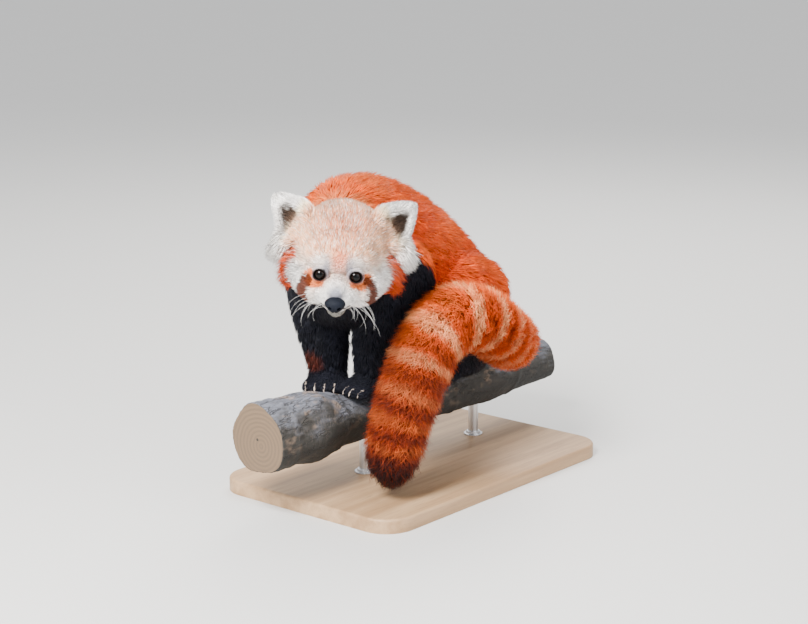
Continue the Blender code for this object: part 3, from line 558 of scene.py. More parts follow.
def face_markings(spot):
    """The face's colours, drawn as seen from the front: side, and rise square to the brow's slope."""
    left, forward, up = spot.head.T
    side, rise = np.abs(left), 0.92 * up - 0.39 * forward
    ragged = 0.0016 * waver(spot.points, 0.006, 3)
    colour = np.tile(BUFF, (len(left), 1))
    colour = mix(colour, RUST, 0.30 * oval(left, rise, (0.0, 0.030), (0.026, 0.022), 0.8))
    colour = mix(colour, SNOW, oval(side, rise + ragged, (0.047, -0.034), (0.020, 0.034)))
    colour = mix(colour, SNOW, oval(side, rise, (0.0, -0.055), (0.033, 0.028)))
    colour = mix(colour, SNOW, 0.8 * oval(side, rise, (0.018, -0.010), (0.012, 0.009), 0.5))
    colour = mix(colour, SNOW, 0.7 * oval(side, rise, (0.0, -0.030), (0.009, 0.020), 0.5))
    colour = mix(colour, RUST, 0.42 * oval(left, rise, (0.001, -0.006), (0.008, 0.011), 0.6))
    colour = mix(colour, SLATE, 0.62 * oval(side, rise, (0.0115, -0.013), (0.0040, 0.0100), 0.6))
    colour = mix(colour, SLATE, 0.90 * oval(left, rise, (0.0, -0.042), (0.0080, 0.0100), 0.5))
    under_eye = near_line(side, rise, ((0.0165, -0.0295), (0.0235, -0.0300), (0.0285, -0.0250), (0.0290, -0.0190)))
    colour = mix(colour, AMBER, 0.95 * ease(under_eye + ragged, 0.0048, 0.0024))
    tear = near_line(side, rise, ((0.0300, -0.0250), (0.0340, -0.0330), (0.0350, -0.0420), (0.0315, -0.0510)))
    ahead = np.maximum(ease(forward, 0.014, 0.024), ease(rise, -0.036, -0.030))
    colour = mix(colour, TEAR, 0.97 * ahead * ease(tear + ragged, 0.0062, 0.0032))
    behind = ease(forward + 0.9 * ragged, 0.009, 0.003) * ease(rise, 0.016, 0.002) * ease(side, 0.030, 0.040)
    colour = mix(colour, EMBER_RUFF, behind)
    crown_end = ease(forward + 0.004 * waver(spot.points, 0.014, 4), -0.026, -0.050) * ease(rise, 0.004, 0.024)
    colour = mix(colour, RUST, crown_end)
    throat = ease(up, -0.040, -0.050) * ease(forward, 0.028, 0.010)
    colour = mix(colour, JET, throat)
    reach = lid_reach(spot)
    colour = mix(colour, SLATE, 0.60 * ease(reach, 2.2, 1.4) * ease(rise, -0.030, -0.022))
    colour = mix(colour, LID, ease(reach, 1.34, 1.14))
    # Painted shade: the white chin greyed under the muzzle.
    chin_shade = ease(side, 0.018, 0.011) * ease(up, -0.031, -0.034) * ease(forward, 0.034, 0.044)
    colour = mix(colour, CHIN_SHADE, 0.9 * chin_shade)
    return mix(colour, (0.030, 0.018, 0.017), ease(from_mouth(spot), 0.0022, 0.0012))


def lid_reach(spot):
    """How far out from the middle of an eye's opening each point is: one at its edge, and 9 away from it."""
    reach = np.full(len(spot.points), 9.0)
    for name, side in SIDES.items():
        back = np.array((Matrix.Translation(EYES[name]) @ lid_turn(side)).inverted())
        local = spot.points @ back[:3, :3].T + back[:3, 3]
        mine = np.hypot(local[:, 0] / LID_WIDTH, local[:, 2] / LID_HEIGHT)
        near = (np.linalg.norm(local, axis=1) < EYE_RADIUS + 0.006) & (local[:, 1] < 0)
        reach = np.where(near, np.minimum(reach, mine), reach)
    return reach


def from_mouth(spot):
    """How far each point lies from the line between the lips."""
    return np.min([np.linalg.norm(spot.points - np.array(place), axis=1)
                   for place in smooth_path(MOUTH, 4)], axis=0)


def ear_markings(spot):
    colour = np.tile(SNOW, (len(spot.points), 1))
    for side, (local, _) in spot.ears.items():
        across, deep, high = local.T
        outwards = np.array(ear_place(side))[:3, 1]
        inside = ease(spot.normals @ outwards, 0.15, -0.25)
        near = np.linalg.norm(local, axis=1) < 1.6
        colour = mix(colour, EAR_CREAM, 0.85 * near * inside * ease(high, 0.00, -0.35))
        ragged = 0.09 * waver(spot.points, 0.005, 11)
        dark = oval(across + ragged, high + ragged, (-0.03 * side, -0.04), (0.45, 0.48), 0.40)
        colour = mix(colour, EAR_DARK, near * inside * dark)
        back = (1 - inside) * oval(across, high, (0.0, -0.15), (0.55, 0.60), 0.3) * ease(deep, 0.0, 0.3)
        colour = mix(colour, EMBER, near * back)
    return colour


def tail_markings(spot):
    """Pale and dark rings by turns, deeper towards the tip, which is nearly black."""
    reach = spot.tail_reach + 0.0028 * waver(spot.points, 0.016, 8)
    ring = np.cos(2 * math.pi * np.interp(reach + RING_DRIFT, PALE_RINGS, range(len(PALE_RINGS))))
    fade = ease(reach, 0.375, 0.240)
    colour = mix(np.tile(TAIL_LOW, (len(reach), 1)), TAIL_TOP, fade)
    colour = mix(colour, RING_DARK, (0.75 - 0.35 * fade) * ease(-ring, 0.1, 1.0))
    pale = mix(np.tile(RING_LOW, (len(reach), 1)), RING_PALE, fade)
    colour = mix(colour, pale, (0.45 + 0.40 * ease(reach, 0.12, 0.22)) * ease(ring, 0.10, 0.9))
    # Painted light: peach on the tail's upward-facing top, beyond its root.
    colour = mix(colour, PEACH_AND_TOP_LIGHT, 0.35 * ease(spot.normals[:, 2], 0.3, 0.9) * ease(reach, 0.06, 0.14))
    return mix(colour, TAIL_END, ease(reach, 0.400, 0.432))


def body_markings(spot):
    """Rust above, black below, and the black of the forelegs reaching up over the shoulders."""
    x, y, z = (spot.points - np.array(at(0, 0, 0))).T
    soft = 0.006 * waver(spot.points, 0.025, 5)
    # Peach on the upward-facing top is painted light; the patchy peach from the waver is the coat's own uneven tone.
    colour = mix(np.tile(RUST, (len(x), 1)), PEACH_AND_TOP_LIGHT, 0.30 * ease(spot.normals[:, 2], 0.2, 1.0)
                 + 0.22 * ease(waver(spot.points, 0.05, 6), 0.0, 1.0))
    nape = ease(outside_of_head(spot.points) + soft, 0.036, 0.004) * ease(z, 0.150, 0.170)
    colour = mix(colour, NAPE, 0.75 * nape)
    belly = ease(spot.normals[:, 2] + 6 * soft, -0.25, -0.6)
    shoulder_top = 0.150 + 0.030 * ease(x, 0.0, 0.05)
    chest = ease(y + soft, 0.030, 0.008) * ease(z + soft, shoulder_top, shoulder_top - 0.018)
    # The black's edge falls backwards from the top of the shoulder to the belly.
    edge = shoulder_top - SHOULDER_FALL * np.clip(y - 0.022, 0, None)
    wedge = ease(z + soft + 0.003 * waver(spot.points, 0.009, 7), edge + 0.005, edge - 0.005)
    low = ease(z + soft, 0.050, 0.036) * ease(y, 0.150, 0.130)
    dark = np.max([belly, chest, wedge * ease(y, 0.150, 0.120), low], axis=0)
    return mix(colour, JET, dark)


def markings(spot):
    """The coat's colour at each point."""
    body = body_markings(spot)
    black = np.tile(JET, (len(body), 1))
    wrist = np.linalg.norm(spot.points - np.array(at(-0.036, -0.014, 0.034)), axis=1)
    foreleg = mix(black, WRIST, 0.9 * ease(wrist, 0.019, 0.008))
    foreleg = mix(foreleg, body, ease(spot.points[:, 2] - PERCH_TOP, 0.100, 0.120))
    colours = {"trunk": body, "neck": body, "head": face_markings(spot), "ear": ear_markings(spot),
               "foreleg": foreleg, "thigh": body, "tail": tail_markings(spot), "paw": black,
               "shank": mix(black, body, ease(spot.points[:, 2] - PERCH_TOP, 0.030, 0.045))}
    colour = sum(colours[name] * spot.share[name][:, None] for name in REGIONS)
    return mix(colour, SNOW, 0.95 * hanging(spot))


# The coat's lie and measure

def body_lie(spot):
    """Backwards over the back, down the flanks and haunches, and down the chest."""
    x, y, z = (spot.points - np.array(at(0, 0, 0))).T
    aside = x / 0.08
    low = np.clip(0.15 - z, 0, None) / 0.10
    lie = np.stack([0.35 * aside, 1.0 - 0.3 * low, -0.35 - 0.8 * np.abs(aside) - 0.5 * low], axis=1)
    chest = ease(spot.normals[:, 1], -0.3, -0.7) * ease(y, 0.03, 0.0)
    return mix(lie, (0.0, -0.25, -1.0), chest)


def away_from_face(spot):
    """Out and back from the middle of the face, as a ruff lies."""
    middle = np.array(HEAD.at(0, 0.050, 0.0))
    return unit(spot.points - middle) + (0, 0, -0.25)


def face_lie(spot):
    """From the nose up over the brow, and out and down over the cheeks."""
    away = unit(spot.points - np.array(NOSE))
    side = np.abs(spot.head[:, 0])
    cheek = ease(side, 0.022, 0.045) * ease(spot.head[:, 2], 0.020, -0.005)
    out = np.array(HEAD.along(1, 0, 0)) * np.sign(spot.head[:, :1]) + (0, 0, -0.55)
    return mix(away, out, np.maximum(0.55 * cheek, 0.85 * ruff_of(spot)))


def ear_lie(spot):
    lie = np.zeros_like(spot.points)
    for side, (local, outside) in spot.ears.items():
        place = np.array(ear_place(side))
        up, across = place[:3, 2], place[:3, 0]
        spread = np.clip(local[:, :1], -1, 1)
        mine = (outside < 0.03)[:, None] & (np.sign(spot.head[:, :1]) == side)
        lie = np.where(mine, up + 0.6 * spread * across, lie)
    return lie + 1e-6


def paw_lie(spot):
    lie, best = np.zeros_like(spot.points), np.full(len(spot.points), 9.0)
    for centre, bearing, _, _ in PAWS.values():
        gap = np.linalg.norm(spot.points - np.array(centre), axis=1)
        ahead = np.array(Frame(centre, bearing).along(0, 1, -0.45))
        lie[gap < best] = ahead
        best = np.minimum(best, gap)
    return lie


def coat_lie(spot):
    """The way the coat lies at each point, along the skin."""
    down = np.array((0.0, -0.05, -1.0))
    ways = {"trunk": body_lie(spot), "neck": mix(body_lie(spot), away_from_face(spot), np.full(len(spot.points), 0.6)),
            "head": face_lie(spot), "ear": ear_lie(spot), "foreleg": down, "thigh": np.array((0.0, 0.75, -0.75)),
            "shank": np.array((0.0, 0.4, -0.9)), "paw": paw_lie(spot), "tail": spot.tail_along}
    lie = sum(unit(np.broadcast_to(ways[name], spot.points.shape)) * spot.share[name][:, None] for name in REGIONS)
    lie -= np.sum(lie * spot.normals, axis=1)[:, None] * spot.normals
    return unit(lie)


# For each region: the tufts' length, their slope off the skin in degrees, their width, how far a
# lock draws its tufts together, how much they curl, and how many grow on each square millimetre.
COAT = {
    "trunk": (0.024, 24, 0.0012, 0.38, 0.07, 0.29), "neck": (0.019, 24, 0.0012, 0.38, 0.05, 0.33),
    "head": (0.010, 26, 0.0009, 0.30, 0.03, 0.95), "ear": (0.007, 24, 0.0009, 0.25, 0.04, 0.95),
    "foreleg": (0.012, 22, 0.0012, 0.40, 0.04, 0.33), "thigh": (0.022, 24, 0.0012, 0.38, 0.07, 0.32),
    "shank": (0.011, 20, 0.0012, 0.35, 0.04, 0.38), "paw": (0.006, 16, 0.0010, 0.20, 0.03, 0.60),
    "tail": (0.021, 47, 0.0010, 0.34, 0.22, 0.64),
}
MEASURES = ("length", "slope", "width", "locking", "curl", "density")


def ruff_of(spot):
    """How much each point lies in the rust ruff behind the cheeks."""
    left, forward, up = spot.head.T
    side, rise = np.abs(left), 0.92 * up - 0.39 * forward
    return ease(side, 0.028, 0.040) * ease(side, 0.072, 0.062) * ease(forward, 0.008, 0.0) * ease(forward, -0.026, -0.014) * ease(rise, 0.012, 0.0)


def hanging(spot):
    """How much each point lies on an ear's lower outer edge, where long white locks hang."""
    found = np.zeros(len(spot.points))
    for side, (local, _) in spot.ears.items():
        edge = ease(side * local[:, 0], 0.30, 0.55) * ease(local[:, 2], 0.00, -0.20) * ease(local[:, 2], -1.15, -0.90)
        found = np.maximum(found, edge * ease(np.linalg.norm(local, axis=1), 1.60, 1.40))
    return found


def coat_measures(spot):
    """Each point's share of its regions' measures, with the face's own lengths."""
    found = {}
    for i, measure in enumerate(MEASURES):
        found[measure] = sum(COAT[name][i] * spot.share[name] for name in REGIONS)
    left, forward, up = spot.head.T
    side, rise = np.abs(left), 0.92 * up - 0.39 * forward
    from_nose = np.linalg.norm(spot.points - np.array(NOSE), axis=1)
    eye = np.min([np.linalg.norm(spot.points - np.array(place), axis=1) for place in EYES.values()], axis=0)
    short = 0.0026 + 0.085 * np.clip(from_nose - 0.014, 0, 0.12)
    cheek = ease(side, 0.034, 0.047) * ease(rise, 0.014, -0.004) * ease(forward, -0.025, -0.005)
    short = (short + 0.0035 * cheek) * (0.22 + 0.78 * ease(eye, EYE_RADIUS + 0.001, EYE_RADIUS + 0.012))
    ruff, share = ruff_of(spot) * spot.share["head"], spot.share["head"]
    calm = ruff_of(spot) * spot.share["neck"]
    found["length"] += share * (short - COAT["head"][0]) + 0.012 * ruff - 0.002 * calm
    found["slope"] += 20 * ruff - 2 * calm
    found["slope"] += share * (18 * cheek - 8 * ease(from_nose, 0.05, 0.02))
    for local, _ in spot.ears.values():
        near = np.linalg.norm(local, axis=1) < 1.6
        edge = ease(np.hypot(local[:, 0], local[:, 2]), 0.55, 0.9) * near
        found["length"] += spot.share["ear"] * 0.004 * edge
    found["density"] += 0.4 * ruff
    found["loose"] = hanging(spot)
    found["length"] += found["loose"] * (0.027 - found["length"])
    found["width"] += 0.0004 * found["loose"]
    found["density"] += 1.1 * found["loose"]
    bare = (lid_reach(spot) < 1.16) | (from_nose < 0.0102) | (from_mouth(spot) < 0.0011)
    found["density"] = np.where(bare, 0.0, found["density"])
    found["length"] = np.maximum(found["length"], 0.0018)
    return found


# Growing the tufts

class Skin:
    """The skin's triangles as arrays, and the nearest place on them."""

    def __init__(self, obj):
        mesh = obj.data
        mesh.calc_loop_triangles()
        self.corners = read(mesh.vertices, "co", 3)
        self.normals = read(mesh.vertices, "normal", 3)
        self.triangles = read(mesh.loop_triangles, "vertices", 3, int)
        self.areas = read(mesh.loop_triangles, "area", 1)[:, 0]
        self.flats = read(mesh.loop_triangles, "normal", 3)
        self.tree = BVHTree.FromPolygons(self.corners.tolist(), self.triangles.tolist())

    def nearest(self, points):
        places, facings = np.empty_like(points), np.empty_like(points)
        for i, point in enumerate(points.tolist()):
            place, facing, _, _ = self.tree.find_nearest(point)
            places[i], facings[i] = place, facing
        return places, facings


def read(items, name, width, kind=float):
    """One value of every item of a mesh, as an array of rows."""
    found = np.empty(len(items) * width, np.int32 if kind is int else np.float32)
    items.foreach_get(name, found)
    return found.reshape(-1, width).astype(kind)


def sow(skin, density, chance):
    """Roots spread over the skin, so many to each square metre round each corner."""
    wanted = skin.areas * density[skin.triangles].mean(axis=1)
    count = np.floor(wanted + chance.random(len(wanted))).astype(int)
    chosen = np.repeat(np.arange(len(count)), count)
    u, v = np.sort(chance.random((2, len(chosen))), axis=0)
    weights = np.stack([u, v - u, 1 - v], axis=1)[:, :, None]
    corners = skin.triangles[chosen]
    points = (skin.corners[corners] * weights).sum(axis=1)
    normals = unit((skin.normals[corners] * weights).sum(axis=1))
    return points, normals, skin.flats[chosen]


def bake_map(points, flats):
    """A box unwrap of the skin's own shape: six sides, each laid flat in a sixth of the map."""
    axis = np.abs(flats).argmax(axis=1)
    facing = (flats[np.arange(len(flats)), axis] > 0).astype(int)
    low, high = points.min(axis=0), points.max(axis=0)
    share = 0.04 + 0.92 * (points - low) / (high - low)
    rows = np.arange(len(points))
    across, along = share[rows, (axis + 1) % 3], share[rows, (axis + 2) % 3]
    return np.stack([(axis + across) / 3, (facing + along) / 2], axis=1)


# A tuft's rings as the share of its length and of its width, before its tip.
TUFT_RINGS = ((0.0, 0.75), (0.5, 1.0))
RING_SHARES = [share for share, _ in TUFT_RINGS] + [1.0]


def bent_lines(skin, points, normals, measures, chance):
    """For each tuft, the middle of each ring and of its tip, which keep to the skin as it curves."""
    count = len(points)
    length = measures["length"] * chance.uniform(0.78, 1.18, count)
    slope = np.radians(measures["slope"] * chance.uniform(0.7, 1.3, count))
    turn = chance.normal(0, 0.10, count) + 0.22 * waver(points, 0.022, 31) + 0.10 * waver(points, 0.008, 32)
    place, facing = points, normals
    lines, last = [], 0.0
    for share in RING_SHARES:
        if share > 0:
            lie = coat_lie(Spot(place, facing))
            across = np.cross(facing, lie)
            lie = unit(lie + turn[:, None] * across)
            step = (length * np.cos(slope) * (share - last))[:, None]
            place, facing = skin.nearest(place + lie * step)
        rise = length * np.sin(slope) * share ** 0.85 - TUFT_SINK * (1 - share)
        lines.append(place + facing * rise[:, None])
        last = share
    return np.array(lines), length


def hung(lines, spot, loose, length, chance):
    """Under each ear the longest white locks hang free of the skin, out and down."""
    out = np.sign(spot.head[:, :1]) * np.array(HEAD.along(1, 0, 0))
    ways = unit(0.62 * out + 0.80 * np.array(HEAD.along(0, 0.20, -0.80)) + chance.normal(0, 0.15, out.shape))
    for i, share in enumerate(RING_SHARES):
        free = lines[0] + ways * (length * share)[:, None]
        lines[i] += (free - lines[i]) * loose[:, None]
    return lines


def locked(lines, points, measures, size, chance):
    """Draws tufts together towards their tips into locks, and gives each tuft's lock."""
    picked = np.flatnonzero(chance.random(len(points)) < size)
    tree = KDTree(len(picked))
    for i, row in enumerate(picked):
        tree.insert(points[row], i)
    tree.balance()
    mine = picked[[tree.find(point)[1] for point in points.tolist()]]
    for i, share in enumerate(RING_SHARES):
        pull = (measures["locking"] * share ** 1.2)[:, None]
        lines[i] += (lines[i][mine] - lines[i]) * pull
    return mine


def flecked(colours, spot, chance):
    """The brow's coat is a mixture of rust and white tufts, and the face's white has some grey ones."""
    left, forward, up = spot.head.T
    rise = 0.92 * up - 0.39 * forward
    brow = spot.share["head"] * ease(rise, -0.006, 0.006) * ease(forward, -0.045, -0.030)
    middle = 0.35 + 0.65 * ease(np.abs(left), 0.042, 0.012)
    lot = chance.random(len(colours))
    colours = mix(colours, (0.62, 0.10, 0.02), 0.46 * brow * middle * (lot < 0.28))
    end = ease(spot.tail_reach, 0.385, 0.430)
    colours = mix(colours, TAIL_TOP, spot.share["tail"] * (0.35 - 0.10 * end) * (lot < 0.22))
    return mix(colours, SNOW, 0.50 * brow * (lot > 0.72))


def tuft_colours(colours, lock, chance):
    """Each ring's colour: darker at the root, as painted shade deep in the coat, and lighter and uneven at the tip."""
    count = len(colours)
    shade = chance.normal(1.0, 0.10, count) * chance.normal(1.0, 0.12, count)[lock]
    warm = np.clip(chance.normal(0.35, 0.30, count) + chance.normal(0.0, 0.28, count)[lock], 0, 1)
    lightness = colours.sum(axis=1) / 3
    # The root's darkening is painted shade deep in the coat.
    root = colours * (0.58 + 0.20 * np.clip(lightness * 1.4, 0, 1))[:, None]
    bright = mix(colours, np.minimum(colours * 1.35 + (0.022, 0.013, 0.005), 0.92), ease(lightness, 0.04, 0.16))
    tip = mix(colours, bright, warm)
    body = colours * np.clip(shade, 0.6, 1.4)[:, None]
    return np.array([root, body, np.clip(tip * np.clip(shade, 0.7, 1.35)[:, None], 0, 0.94)])


def tuft_mesh(name, lines, widths, sideways, facings, colours, places):
    """One mesh of thin three-sided tufts, each closed at its root and drawn to a point at its tip."""
    count = len(widths)
    rows = []
    for i, (_, fullness) in enumerate(TUFT_RINGS):
        half = (0.5 * widths * fullness)[:, None]
        rows += [lines[i] - sideways * half, lines[i] + sideways * half, lines[i] + facings * 0.8 * half]
    corners = np.stack(rows + [lines[-1]], axis=1)
    a_tuft = corners.shape[1]
    faces = [(0, 1, 2)]
    for low in range(0, a_tuft - 4, 3):
        for one, two in ((0, 1), (1, 2), (2, 0)):
            faces += [(low + two, low + one, low + one + 3), (low + two, low + one + 3, low + two + 3)]
    top = a_tuft - 4
    faces += [(top + 1, top, top + 3), (top + 2, top + 1, top + 3), (top, top + 2, top + 3)]
    loops = (np.arange(count)[:, None, None] * a_tuft + np.array(faces)).reshape(-1)
    mesh = bpy.data.meshes.new(name)
    mesh.vertices.add(count * a_tuft)
    mesh.vertices.foreach_set("co", corners.astype(np.float32).ravel())
    mesh.loops.add(len(loops))
    mesh.loops.foreach_set("vertex_index", loops.astype(np.int32))
    mesh.polygons.add(len(loops) // 3)
    mesh.polygons.foreach_set("loop_start", np.arange(0, len(loops), 3, dtype=np.int32))
    tint = mesh.color_attributes.new("tint", "FLOAT_COLOR", "POINT")
    ringed = np.concatenate([np.repeat(colours[i][:, None], 3, axis=1) for i in range(len(TUFT_RINGS))]
                            + [colours[-1][:, None]], axis=1)
    opaque = np.concatenate([ringed, np.ones((count, a_tuft, 1))], axis=2)
    tint.data.foreach_set("color", opaque.astype(np.float32).ravel())
    patch = np.array([(x - 0.5, y - 0.5) for y in (0.0, 0.5) for x in (0.0, 1.0, 0.5)] + [(0.0, 0.5)])
    uv = (places[:, None] + TUFT_PATCH * patch).reshape(-1, 2)[loops]
    mesh.uv_layers.new(name="OFBake").data.foreach_set("uv", uv.astype(np.float32).ravel())
    mesh.update(calc_edges=True)
    mesh.shade_smooth()
    return mesh


def grow_coat(skin, fur):
    """The whole coat, region by region, in pieces of a size that exports well."""
    chance = np.random.default_rng(7)
    corners = Spot(skin.corners, skin.normals)
    density = coat_measures(corners)["density"] * 1e6
    points, normals, flats = sow(skin, density, chance)
    spot = Spot(points, normals)
    measures = coat_measures(spot)
    lines, length = bent_lines(skin, points, normals, measures, chance)
    lines = hung(lines, spot, measures["loose"], length, chance)
    lock = locked(lines, points, measures, 0.055, chance)
    lie = unit(lines[-1] - lines[0])
    sideways = unit(np.cross(normals, lie))
    curl = measures["curl"] * length * chance.uniform(0.3, 1.6, len(points))
    swing = np.sin(chance.uniform(0, 2 * math.pi, len(points)))
    lines[1] += sideways * (curl * swing)[:, None]
    lines[-1] -= sideways * (0.8 * curl * swing)[:, None]
    floor = BASE_THICKNESS + 0.004
    lines[:, :, 2] = np.maximum(lines[:, :, 2], floor)
    colours = tuft_colours(flecked(markings(spot), spot, chance), lock, chance)
    width = measures["width"] * chance.uniform(0.75, 1.25, len(points))
    share = spot.share
    groups = {
        "coat_tail": share["tail"] > 0.5,
        "coat_head": share["head"] + share["ear"] > 0.5,
        "coat_legs": share["foreleg"] + share["shank"] + share["paw"] > 0.5,
    }
    groups["coat_body"] = ~np.any(list(groups.values()), axis=0)
    slots = {"coat_tail": "tail_coat", "coat_head": "cream_coat", "coat_legs": "black_coat", "coat_body": "rust_coat"}
    for name, chosen in groups.items():
        rows = np.flatnonzero(chosen)
        rows = rows[np.argsort(points[rows, 1])]
        for part, piece in enumerate(np.array_split(rows, math.ceil(len(rows) / TUFTS_A_PIECE))):
            mesh = tuft_mesh(f"{name}_{part + 1}", lines[:, piece], width[piece], sideways[piece], normals[piece],
                             colours[:, piece], bake_map(points[piece], flats[piece]))
            mesh.materials.append(fur)
            shown(f"{name}_{part + 1}", mesh, slot=slots[name])
        print(name, len(rows), "tufts")


# Shader maths

class Wire:
    """A socket of a material's nodes. Sums on wires add Math nodes."""

    def __init__(self, tree, socket=None):
        self.tree, self.socket = tree, socket

    def node(self, kind, settings=None, values=None, output=0):
        """The output of a new node of that kind: its settings first, then its sockets' values or wires."""
        made = self.tree.nodes.new(kind)
        for name, value in (settings or {}).items():
            if name == "stops":
                ramp = made.color_ramp.elements
                while len(ramp) < len(value):
                    ramp.new(0.5)
                for stop, (place, colour) in zip(ramp, value):
                    stop.position = place
                    stop.color = (*colour, 1)
            else:
                setattr(made, name, value)
        for name, value in (values or {}).items():
            if isinstance(value, Wire):
                self.tree.links.new(value.socket, made.inputs[name])
            else:
                made.inputs[name].default_value = value
        return Wire(self.tree, made.outputs[output])

    def maths(self, operation, *values, clamp=False):
        return self.node("ShaderNodeMath", {"operation": operation, "use_clamp": clamp}, dict(enumerate(values)))

    def __add__(self, other):
        return self.maths("ADD", self, other)

    __radd__ = __add__

    def __sub__(self, other):
        return self.maths("SUBTRACT", self, other)

    def __rsub__(self, other):
        return self.maths("SUBTRACT", other, self)

    def __mul__(self, other):
        return self.maths("MULTIPLY", self, other)

    __rmul__ = __mul__

    def __truediv__(self, other):
        return self.maths("DIVIDE", self, other)

    def __pow__(self, other):
        return self.maths("POWER", self, other)

    def between(self, low, high):
        """None below low and one above high."""
        return self.node("ShaderNodeMapRange", {"interpolation_type": "SMOOTHSTEP"},
                         {"Value": self, "From Min": low, "From Max": high})


def place_of(wire, scale=(1, 1, 1)):
    """The piece's own place, stretched."""
    spot = wire.node("ShaderNodeTexCoord", output="Object")
    return wire.node("ShaderNodeMapping", {}, {"Vector": spot, "Scale": scale})


def cloud(wire, scale, detail=4.0, stretch=(1, 1, 1), rough=0.5):
    return wire.node("ShaderNodeTexNoise", {}, {"Vector": place_of(wire, stretch), "Scale": scale,
                                                "Detail": detail, "Roughness": rough})


def cells(wire, scale, stretch=(1, 1, 1), feature="F1"):
    return wire.node("ShaderNodeTexVoronoi", {"feature": feature},
                     {"Vector": place_of(wire, stretch), "Scale": scale}, output="Distance")


def blended(wire, share, one, two, way="MIX"):
    """Two colours mixed by a share, which may be a wire."""
    one, two = ((*c, 1) if isinstance(c, tuple) else c for c in (one, two))
    return wire.node("ShaderNodeMix", {"data_type": "RGBA", "blend_type": way}, {0: share, 6: one, 7: two}, output=2)


def bumped(wire, height, strength, reach):
    return wire.node("ShaderNodeBump", {}, {"Height": height, "Strength": strength, "Distance": reach})


def material(name, paint, **constants):
    """A material whose constants are set on its shader, and whose paint gives its other sockets' wires."""
    made = bpy.data.materials.new(name)
    made.use_nodes = True
    tree = made.node_tree
    shader = tree.nodes["Principled BSDF"]
    for key, value in constants.items():
        shader.inputs[key.replace("_", " ").title().replace("Ior", "IOR")].default_value = value
    for key, wire in paint(Wire(tree)).items():
        tree.links.new(wire.socket, shader.inputs[key])
    return made


def tint_of(wire):
    return wire.node("ShaderNodeAttribute", {"attribute_name": "tint"})


def fur_paint(wire):
    """Hair with a little unevenness along it."""
    grain = cloud(wire, 900, 2)
    return {"Base Color": blended(wire, grain * 0.35, tint_of(wire), (0.92, 0.86, 0.80), "MULTIPLY"),
            "Roughness": 0.50 + 0.18 * grain}


def skin_paint(wire):
    """Short dense down over skin, in the coat's own colours made darker: partly the down's own deeper tone and partly
    painted shade in the gaps between the tufts.
    """
    down = cloud(wire, 420, 5, rough=0.7)
    return {"Base Color": blended(wire, 0.30 + 0.3 * down, tint_of(wire), (0.35, 0.30, 0.28), "MULTIPLY"),
            "Normal": bumped(wire, down, 0.6, 0.002)}


# Eyes, nose, whiskers and claws

def ball_about(name, centre, facing, radius, segments=48, rings=32):
    """A ball whose pole faces a given way."""
    bm = bmesh.new()
    turn = facing.to_track_quat("Z", "Y").to_matrix().to_4x4()
    bmesh.ops.create_uvsphere(bm, u_segments=segments, v_segments=rings, radius=radius)
    return bm, Matrix.Translation(centre) @ turn


def eye_paint(wire):
    """A black pupil in a dark brown iris with fine spokes, and a darker rim."""
    return {"Base Color": tint_of(wire)}


def build_eye(name, side, gloss, camera):
    centre = EYES[name]
    gaze = (0.6 * (camera - centre).normalized() + 0.4 * HEAD.along(0.30 * side, 1, 0.05)).normalized()
    bm, place = ball_about(name, centre, gaze, EYE_RADIUS - 0.0002)
    tint = bm.verts.layers.float_color.new("tint")
    for vert in bm.verts:
        angle = math.degrees(vert.co.angle(Vector((0, 0, 1))))
        spoke = 0.75 + 0.25 * math.sin(11 * math.atan2(vert.co.y, vert.co.x))
        iris = Vector((0.008, 0.0028, 0.0014)) * spoke
        dark = Vector((0.001, 0.001, 0.001))
        share = min(max((angle - 21) / 4, 0), 1) * min(max((44 - angle) / 8, 0), 1)
        vert[tint] = (*dark.lerp(iris, share), 1)
        vert.co *= 1 + 0.04 * max(0, math.cos(math.radians(min(angle * 1.9, 90))))
    bmesh.ops.transform(bm, matrix=place, verts=bm.verts)
    mesh = from_bmesh("eyeball_" + name, bm)
    mesh.materials.append(gloss)
    mesh.shade_smooth()
    return shown("eyeball_" + name, mesh, ["eye_" + name], "eye")


def nose_paint(wire):
    """Moist leather, cut into fine cells."""
    grain = cells(wire, 1500)
    return {"Base Color": blended(wire, cloud(wire, 90), (0.002, 0.003, 0.005), (0.007, 0.009, 0.016)),
            "Roughness": 0.45 + 0.22 * cloud(wire, 300),
            "Normal": bumped(wire, grain, 0.5, 0.0004)}


def build_nose(leather):
    """The nose pad: broad above, drawn in below, with a groove between its two nostrils."""
    bm = bmesh.new()
    bmesh.ops.create_uvsphere(bm, u_segments=48, v_segments=32, radius=1)
    for vert in bm.verts:
        x, y, z = vert.co
        vert.co.x = x * (1 + 0.30 * z)
        vert.co.y = y + 0.12 * math.exp(-(x / 0.10) ** 2) * (1 if y < 0 else 0) * max(0, 0.6 - z)
        vert.co.z = z * (0.95 if z > 0 else 1.0) - 0.10 * x * x * (z > 0)
    size = Matrix.Diagonal((0.0104, 0.0088, 0.0084, 1))
    place = HEAD.at(0, NOSE_FORWARD, NOSE_UP - 0.0009)
    bmesh.ops.transform(bm, matrix=Matrix.Translation(place) @ HEAD.turn @ size, verts=bm.verts)
    nose = shown("nose_pad", from_bmesh("nose_pad", bm), ["nose"], "nose")
    holes = []
    for side in SIDES.values():
        turn = HEAD.turn @ Matrix.Rotation(side * math.radians(-32), 4, "Y")
        place = HEAD.at(side * 0.0046, NOSE_FORWARD + 0.0078, NOSE_UP - 0.0022)
        holes.append(one_form("nostril", lambda bm: ball(bm, place, (0.0024, 0.0040, 0.0015), turn)))
    combine(nose, holes, "DIFFERENCE")
    nose.data.materials.clear()
    nose.data.materials.append(leather)
    nose.data.shade_smooth()
    nose.data.set_sharp_from_angle(angle=math.radians(50))


